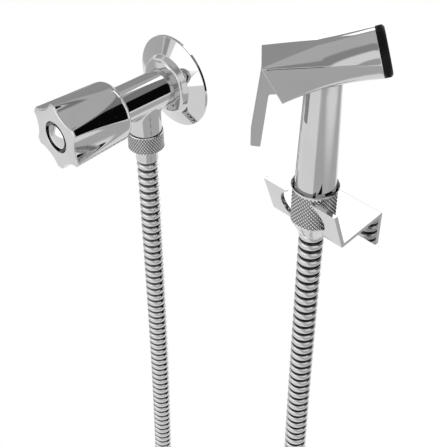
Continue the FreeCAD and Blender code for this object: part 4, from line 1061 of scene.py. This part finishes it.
@dataclass
class FlutedKnob:
    """The six-lobed knob of the valve with its domed cap."""

    rear: float = 50 * MM
    front: float = 93 * MM
    rear_radius: float = 19 * MM
    front_radius: float = 21.8 * MM
    flutes: int = 6
    flute_half_width: float = 9.9 * MM
    flute_hollow: float = 4.05 * MM
    flute_depth: float = 4.3 * MM
    flute_end: float = 56 * MM
    edge_round: float = 0.9 * MM
    front_edge: float = 0.9 * MM
    shoulder: float = 4.2 * MM
    shoulder_room: float = 5.6 * MM
    skirt_radius: float = 15 * MM
    segments: int = 432
    rows: int = 44

    def body_radius(self, reach: float) -> float:
        """The knob's radius without its flutes."""
        share = (reach - self.rear) / (self.front - self.rear)
        return self.rear_radius + share * (self.front_radius - self.rear_radius)

    def fluted_radius(self, angle: float, reach: float) -> float:
        """The knob's radius with its flutes.

        Args:
            angle: The turn from +X towards +Z.
            reach: The distance from the wall.

        Returns:
            The radius, with the flutes' edges eased.
        """
        body = self.body_radius(reach)
        step = FULL_TURN / self.flutes
        turn = angle - step * round(angle / step)
        floor = self.front_radius - self.flute_depth
        end = self.body_radius(self.flute_end)
        share = (self.front - reach) / (self.front - self.flute_end)
        centre = self.flute_hollow + floor + (end - floor) * share
        along = math.cos(turn) / self.flute_hollow
        across = math.sin(turn) / self.flute_half_width
        ahead = centre / self.flute_hollow
        spare = (along * ahead) ** 2 - (along ** 2 + across ** 2) * (ahead ** 2 - 1)
        if spare <= 0:
            return body
        cutter = (along * ahead - math.sqrt(spare)) / (along ** 2 + across ** 2)
        gap = abs(cutter - body)
        ease = max(0.0, 1 - gap / self.edge_round)
        return min(body, cutter) - 0.25 * self.edge_round * ease ** 2

    def build(self, wardrobe: Wardrobe) -> None:
        """Makes the knob and its cap."""
        flank = []
        length = self.front - self.rear - self.shoulder_room
        for i in range(self.rows + 1):
            reach = self.front - self.front_edge * 1.3 - i * length / self.rows
            flank.append(Corner(self.body_radius(reach), reach))
        corners = [
            Corner(14.4 * MM, self.rear),
            Corner(14.4 * MM, 84 * MM),
            Corner(7 * MM, 84 * MM),
            Corner(7 * MM, 69 * MM),
            Corner(4 * MM, 69 * MM),
            Corner(4 * MM, 86.1 * MM),
            Corner(2.15 * MM, 86.1 * MM),
            Corner(2.15 * MM, 88.1 * MM),
            Corner(4.1 * MM, 88.1 * MM),
            Corner(4.1 * MM, 91 * MM),
            Corner(7.55 * MM, 91 * MM, 0.1 * MM),
            Corner(7.6 * MM, 87.5 * MM, 0.2 * MM),
            Corner(9.5 * MM, 87.5 * MM, 0.2 * MM),
            Corner(9.9 * MM, self.front, 0.35 * MM),
            Corner(self.front_radius, self.front, self.front_edge),
            *flank,
            Corner(self.rear_radius, self.rear, self.shoulder),
        ]
        mesh = bmesh.new()
        turn_outline(mesh, rounded_outline(corners, 6), self.segments)
        for vert in mesh.verts:
            across = math.hypot(vert.co.x, vert.co.y)
            if across > self.skirt_radius:
                inset = self.body_radius(vert.co.z) - across
                wanted = self.fluted_radius(math.atan2(vert.co.y, vert.co.x), vert.co.z) - inset
                vert.co.x *= wanted / across
                vert.co.y *= wanted / across
        knob = finish_piece(mesh, "fluted_knob", valve_axis(), 40.0)
        flatten_shading(knob)
        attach(knob, "knob")
        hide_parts("knob")
        wardrobe.dress(knob, Finish.CAST)
        self.cap(wardrobe)

    def cap(self, wardrobe: Wardrobe) -> None:
        """Makes the domed cap in the knob's recess."""
        radius = 7.6 * MM
        rise = 1.9 * MM
        base = 92.4 * MM
        ball = (radius ** 2 + rise ** 2) / (2 * rise)
        dome = []
        steps = 14
        for i in range(steps + 1):
            across = radius * (1 - i / steps)
            height = math.sqrt(ball ** 2 - across ** 2) - (ball - rise)
            dome.append(Corner(across, base + height))
        corners = [Corner(0, 91 * MM), Corner(radius, 91 * MM, 0.1 * MM), *dome]
        mesh = bmesh.new()
        turn_outline(mesh, rounded_outline(corners), 96)
        cap = finish_piece(mesh, "domed_cap", valve_axis(), 50.0)
        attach(cap, "knob")
        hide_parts("knob_cap")
        wardrobe.dress(cap, Finish.CAST)


@dataclass
class WallCover:
    """The pressed cover behind the valve."""

    segments: int = 192

    def build(self, wardrobe: Wardrobe) -> None:
        """Makes the cover."""
        corners = [
            Corner(30 * MM, 0),
            Corner(30 * MM, 1.6 * MM, 0.5 * MM),
            Corner(19.6 * MM, 6.3 * MM, 0.7 * MM),
            Corner(17.4 * MM, 10.3 * MM, 3 * MM),
            Corner(11.85 * MM, 11 * MM, 0.15 * MM),
            Corner(11.85 * MM, 9.9 * MM),
            Corner(16.3 * MM, 9.2 * MM),
            Corner(18.5 * MM, 5.2 * MM),
            Corner(28.9 * MM, 0.8 * MM),
            Corner(28.9 * MM, 0),
        ]
        mesh = bmesh.new()
        turn_outline(mesh, rounded_outline(corners, 10), self.segments)
        cover = finish_piece(mesh, "pressed_cover", valve_axis(), 35.0)
        flatten_shading(cover)
        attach(cover, "root")
        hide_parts("escutcheon")
        wardrobe.dress(cover, Finish.SHEET)


@dataclass
class SprayHandset:
    """The handset: handle and head in one casting, the lever and the black ring.

    The head's own axes: X along the head towards the nozzle, Y away from the camera and Z up.
    """

    axis_x: float = 142.5 * MM
    axis_reach: float = 29.2 * MM
    yaw: float = 43.2
    rear_top: Vector = field(default_factory=lambda: Vector((-30.4, 0, 82.5)) * MM)
    heel: Vector = field(default_factory=lambda: Vector((-19.8, 0, 63.7)) * MM)
    nozzle: Vector = field(default_factory=lambda: Vector((24.8, 0, 85.9)) * MM)
    half_width: float = 12 * MM
    nozzle_radius: float = 12.5 * MM
    tilt: float = 16.0
    corner: float = 0.8 * MM
    face_side: float = 0.3 * MM
    hollow: float = 0.2 * MM
    belly: float = 3.0 * MM
    flat_share: float = 0.5
    crease_round: float = 0.45 * MM
    rim: float = 0.45 * MM
    pin: Vector = field(default_factory=lambda: Vector((-22.5, 0, 76.4)) * MM)
    valve_level: float = 72.8 * MM
    back_length: float = 20 * MM
    back_reach: float = -29 * MM
    back_round: float = 1.6 * MM
    rows: int = 28
    arc_steps: int = 12

    def axis(self) -> Matrix:
        """The handset's vertical axis."""
        return Matrix.Translation((self.axis_x, -self.axis_reach, 0))

    def frame(self) -> Matrix:
        """The head's own axes."""
        return self.axis() @ Matrix.Rotation(math.radians(self.yaw), 4, "Z")

    def nozzle_frame(self) -> Matrix:
        """The nozzle's axes, with Z out of the spray face."""
        turn = Matrix.Rotation(math.radians(90 - self.tilt), 4, "Y")
        return self.frame() @ Matrix.Translation(self.nozzle) @ turn

    def section(self, share: float, inset: float) -> list[Vector]:
        """The head's outline at a share of its length.

        Args:
            share: 0 at the square rear end and 1 at the round nozzle.
            inset: How much smaller it is all round.

        Returns:
            Points in order. The side is flat up to a crease, and a barrel runs over the top.
        """
        rear_half = (self.rear_top - self.heel).length / 2
        rear_lean = math.atan2(self.heel.x - self.rear_top.x, self.rear_top.z - self.heel.z)
        middle = ((self.rear_top + self.heel) / 2).lerp(self.nozzle, share)
        middle.z -= 4 * self.hollow * share * (1 - share)
        lean = rear_lean * (1 - share) + math.radians(self.tilt) * share
        width = self.half_width * (1 - share) + self.nozzle_radius * share
        height = rear_half * (1 - share) + self.nozzle_radius * share
        half = self.right_half(share, width, height)
        left = [(-across, rise) for across, rise in reversed(half)]
        up = Vector((-math.sin(lean), 0, math.cos(lean)))
        points = []
        for across, rise in [*half, *left]:
            out = Vector((across, rise, 0))
            out -= out.normalized() * inset
            points.append(middle + Vector((0, 1, 0)) * out.x + up * out.y)
        return points

    def right_half(self, share: float, width: float, height: float) -> list[tuple[float, float]]:
        """One half of the outline, from the bottom's middle over the side to the top's middle.

        Args:
            share: How far along the head.
            width: Half the outline's width.
            height: Half the outline's height.

        Returns:
            Pairs of distance across and rise.
        """
        lower = height - 4 * self.belly * share * (1 - share)
        rounding = self.corner * (1 - share) + (self.nozzle_radius - self.face_side) * share
        points = []
        for step in range(self.arc_steps + 1):
            angle = step / self.arc_steps * math.pi / 2
            across = width - rounding * (1 - math.sin(angle))
            points.append((across, rounding * (1 - math.cos(angle)) - lower))
        crease = (height - self.corner) * (1 - share)
        flat = (width - self.corner) * max(0.0, 1 - share / self.flat_share)
        radius = ((width - flat) ** 2 + (height - crease) ** 2) / (2 * (height - crease))
        sweep = math.atan2(width - flat, radius - (height - crease))
        first = sweep - self.crease_round / radius
        before = (flat + radius * math.sin(first), height - radius + radius * math.cos(first))
        after = (width, crease - self.crease_round)
        for step in range(5):
            bend = step / 4
            weights = ((1 - bend) ** 2, 2 * bend * (1 - bend), bend ** 2)
            places = (after, (width, crease), before)
            points.append(tuple(sum(w * place[i] for w, place in zip(weights, places)) for i in (0, 1)))
        for step in range(1, self.arc_steps + 1):
            angle = first * (1 - step / self.arc_steps)
            points.append((flat + radius * math.sin(angle), height - radius + radius * math.cos(angle)))
        return points

    def head(self) -> bmesh.types.BMesh:
        """The head's solid, square behind and round in front."""
        ease = self.rim / (self.nozzle - (self.rear_top + self.heel) / 2).length
        stations = [(0.0, self.rim), (0.3 * ease, 0.3 * self.rim), (ease, 0.0)]
        for i in range(1, self.rows):
            stations.append((ease + (1 - 2 * ease) * i / self.rows, 0.0))
        stations += [(1 - ease, 0.0), (1 - 0.3 * ease, 0.3 * self.rim), (1.0, self.rim)]
        mesh = bmesh.new()
        loops = []
        for share, inset in stations:
            verts = [mesh.verts.new(point) for point in self.section(share, inset)]
            loops.append(verts)
        for before, after in zip(loops, loops[1:]):
            for i in range(len(before)):
                mesh.faces.new((before[i - 1], before[i], after[i], after[i - 1]))
        mesh.faces.new(loops[0])
        mesh.faces.new(loops[-1])
        bmesh.ops.remove_doubles(mesh, verts=mesh.verts, dist=1e-7)
        return mesh

    def handle(self) -> bmesh.types.BMesh:
        """The handle's solid, with the thread under it."""
        corners = [
            Corner(0, -5 * MM),
            Corner(9.6 * MM, -5 * MM),
            Corner(10.4 * MM, -4.2 * MM),
            Corner(10.4 * MM, 7 * MM),
            Corner(11.2 * MM, 7 * MM, 0.25 * MM),
            Corner(9.3 * MM, 66 * MM),
            Corner(9.3 * MM, 72 * MM),
            Corner(0, 72 * MM),
        ]
        mesh = bmesh.new()
        turn_outline(mesh, rounded_outline(corners), 128)
        return mesh

    def build(self, wardrobe: Wardrobe) -> None:
        """Makes the casting, the lever and the ring."""
        behind = 6 * MM
        pocket = block((self.rear_top.x - behind, -8 * MM, self.heel.z - behind),
                       (-15 * MM, 8 * MM, 79.2 * MM))
        far = Vector((0, 11.6 * MM, 0))
        near = Vector((0, -9.1 * MM, 0))
        pin_hole = rod(1.3 * MM, self.pin + near, self.pin + far, 32)
        level = Vector((0, 0, self.valve_level))
        bore = rod(4.6 * MM, level + Vector((-16 * MM, 0, 0)), level + Vector((8.5 * MM, 0, 0)))
        way_up = rod(5 * MM, Vector((0, 0, -6 * MM)), level)
        out = self.frame().inverted() @ self.nozzle_frame()
        mouth = rod(6 * MM, out @ Vector((0, 0, -9 * MM)), out @ Vector((0, 0, 1 * MM)))
        groove = bmesh.new()
        turn_outline(groove, rounded_outline([
            Corner(8.15 * MM, -5.2 * MM), Corner(9.45 * MM, -5.2 * MM),
            Corner(9.45 * MM, 1 * MM), Corner(8.15 * MM, 1 * MM)]), 96)
        groove.transform(out)
        shop = Workshop(self.head()).join(self.handle())
        shop.cut(pocket, pin_hole, bore, way_up, mouth, groove)
        casting = finish_piece(shop.result(), "handset_casting", self.frame(), 32.0)
        flatten_shading(casting)
        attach(casting, "root")
        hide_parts("handset_body")
        wardrobe.dress(casting, Finish.CAST)
        self.lever(wardrobe)
        self.ring(wardrobe)

    def lever(self, wardrobe: Wardrobe) -> None:
        """Makes the lever behind the head."""
        corners = [
            Corner(-29.4 * MM, 78.7 * MM, 0.6 * MM),
            Corner(-34.6 * MM, 37.2 * MM, 0.7 * MM),
            Corner(-29.6 * MM, 36.6 * MM, 0.7 * MM),
            Corner(-26.4 * MM, 66.6 * MM, 1.2 * MM),
            Corner(-20.2 * MM, 66.8 * MM, 0.3 * MM),
            Corner(-20.2 * MM, 72.8 * MM),
            Corner(-20 * MM, 76.4 * MM, 1.0 * MM),
            Corner(-21.25 * MM, 78.9 * MM, 0.6 * MM),
        ]
        shop = Workshop(prism(corners, 7.7 * MM))
        beside = Vector((0, 9 * MM, 0))
        shop.cut(rod(1.3 * MM, self.pin - beside, self.pin + beside, 32))
        mesh = shop.result()
        back = [edge for edge in mesh.edges
                if edge.calc_length() > self.back_length
                and max(vert.co.x for vert in edge.verts) < self.back_reach]
        bmesh.ops.bevel(mesh, geom=back, offset=self.back_round, offset_type="OFFSET", segments=6,
                        profile=0.5, affect="EDGES", clamp_overlap=True, material=-1)
        ease_edges(mesh, 0.3 * MM, 35.0, 2)
        lever = finish_piece(mesh, "trigger_lever", self.frame(), 40.0)
        flatten_shading(lever)
        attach(lever, "trigger")
        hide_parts("trigger")
        wardrobe.dress(lever, Finish.CAST)

    def ring(self, wardrobe: Wardrobe) -> None:
        """Makes the black ring with its grip ribs."""
        radius = 12.4 * MM
        ribbed_from = 12.3 * MM
        ribs = 56
        depth = 0.35 * MM
        low, high = 0.5 * MM, 3.0 * MM
        rows = [Corner(radius, low + (high - low) * i / 6) for i in range(7)]
        corners = [
            Corner(8.2 * MM, -5 * MM),
            Corner(9.4 * MM, -5 * MM),
            Corner(9.4 * MM, 0),
            Corner(radius, 0, 0.2 * MM),
            *rows,
            Corner(radius, 3.3 * MM, 0.1 * MM),
            Corner(11.3 * MM, 4.2 * MM, 0.3 * MM),
            Corner(7.3 * MM, 4.2 * MM, 0.25 * MM),
            Corner(7.3 * MM, 3 * MM),
            Corner(8.2 * MM, 3 * MM),
        ]
        mesh = bmesh.new()
        turn_outline(mesh, rounded_outline(corners, 4), ribs * 6)
        for vert in mesh.verts:
            across = math.hypot(vert.co.x, vert.co.y)
            if across > ribbed_from and low <= vert.co.z <= high:
                wave = 0.5 - 0.5 * math.cos(ribs * math.atan2(vert.co.y, vert.co.x))
                end = min(vert.co.z - low, high - vert.co.z) / (0.8 * MM)
                shrink = 1 - depth * wave * min(1.0, end) / across
                vert.co.x *= shrink
                vert.co.y *= shrink
        ring = finish_piece(mesh, "ribbed_spray_ring", self.nozzle_frame(), 40.0)
        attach(ring, "root")
        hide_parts("spray_ring")
        wardrobe.dress(ring, Finish.PLASTIC)


@dataclass
class WallHook:
    """The folded sheet hook on the wall that seats the cone nut."""

    axis_x: float = 142.5 * MM
    axis_reach: float = 29.2 * MM
    half_width: float = 24.3 * MM
    sheet: float = 2.4 * MM
    top: float = -12.7 * MM
    bottom: float = -34.6 * MM
    fold_reach: float = 33.7 * MM
    fold_level: float = -17.9 * MM
    fork_top: float = 7 * MM
    lean: float = 20.0
    seat_radius: float = 12.05 * MM
    throat_radius: float = 15 * MM
    throat_level: float = -5.5 * MM
    slot_half: float = 8.3 * MM
    slot_level: float = 4 * MM
    hole_radius: float = 2.2 * MM
    hole_spread: float = 10 * MM
    hole_level: float = -26 * MM

    def outline(self) -> list[Corner]:
        """The bent sheet seen from its side, with X towards the wall."""
        lean = math.tan(math.radians(self.lean))
        through = self.sheet / math.cos(math.radians(self.lean))
        rise = self.fork_top - self.fold_level
        slope = (self.top - self.sheet - self.fold_level) / self.fold_reach
        return [
            Corner(0, self.bottom),
            Corner(0, self.top, 0.8 * MM),
            Corner(-self.fold_reach + through - self.sheet * lean, self.fold_level + self.sheet, 0.4 * MM),
            Corner(-self.fold_reach + through - rise * lean, self.fork_top),
            Corner(-self.fold_reach - rise * lean, self.fork_top),
            Corner(-self.fold_reach, self.fold_level, 0.9 * MM),
            Corner(-self.sheet, self.top - self.sheet * (1 + slope), 0.4 * MM),
            Corner(-self.sheet, self.bottom),
        ]

    def build(self, wardrobe: Wardrobe) -> None:
        """Bends, punches and places the hook."""
        seat = rod(self.seat_radius, Vector((-self.axis_reach, 0, self.bottom)),
                   Vector((-self.axis_reach, 0, self.top)), 128)
        lean = math.radians(self.lean)
        depth = self.fold_reach + (self.throat_level - self.fold_level) * math.tan(lean)
        middle = Vector((-depth, 0, self.throat_level))
        outward = Vector((-math.cos(lean), 0, -math.sin(lean))) * 1.5 * self.sheet
        throat = rod(self.throat_radius, middle - outward, middle + outward, 128)
        keep_above(throat, (0, 0, self.fold_level + self.sheet), (0, 0, 1))
        keep_above(throat, (self.sheet - self.fold_reach, 0, 0), (-1, 0, 0))
        slot = block((-depth - 8 * self.sheet, -self.slot_half, self.slot_level),
                     (-depth, self.slot_half, self.fork_top + MM))
        shop = Workshop(prism(self.outline(), self.half_width)).cut(seat, throat, slot)
        for side in (-1, 1):
            start = Vector((-2 * self.sheet, side * self.hole_spread, self.hole_level))
            shop.cut(rod(self.hole_radius, start, start + Vector((3 * self.sheet, 0, 0)), 48))
        mesh = shop.result()
        ease_edges(mesh, 0.3 * MM, 40.0, 3)
        place = Matrix.Translation((self.axis_x, 0, 0)) @ Matrix.Rotation(math.radians(90), 4, "Z")
        hook = finish_piece(mesh, "folded_hook", place, 40.0)
        flatten_shading(hook)
        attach(hook, "root")
        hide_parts("wall_hook")
        wardrobe.dress(hook, Finish.SHEET)


NODE_FINISHES: dict[Finish, tuple[str, ...]] = {
    Finish.CAST: ("valve_body", "valve_end_ferrule"),
    Finish.BRASS: ("cartridge_housing", "spindle", "gland_nut"),
    Finish.STEEL: ("spindle_clip", "knob_screw", "trigger_pin", "plunger", "return_spring"),
    Finish.RUBBER: ("seat_gasket", "housing_o_ring", "spindle_o_ring", "valve_end_washer",
                    "handset_end_washer", "plunger_seal", "plunger_o_ring", "spray_face_seal"),
    Finish.CERAMIC: ("fixed_disc", "moving_disc"),
    Finish.PLATE: ("spray_face",),
}


def main() -> None:
    """Builds every piece in order."""
    logging.basicConfig(level=logging.INFO, format="%(name)s: %(message)s")
    for leftover in list(bpy.data.objects):
        bpy.data.objects.remove(leftover)
    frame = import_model()
    wardrobe = Wardrobe()
    Studio().build()
    for finish, names in NODE_FINISHES.items():
        for name in names:
            wardrobe.dress(frame["nodes"][name], finish)
    for assembly in (WallCover(), FlutedKnob(), SprayHandset(), WallHook()):
        assembly.build(wardrobe)
    nuts = HoseNuts().build(wardrobe)
    plain = [frame["nodes"][name] for name in ("valve_end_ferrule", "valve_end_washer",
                                               "handset_end_washer")]
    MetalHose().build(wardrobe, nuts + plain)


if __name__ == "__main__":
    main()
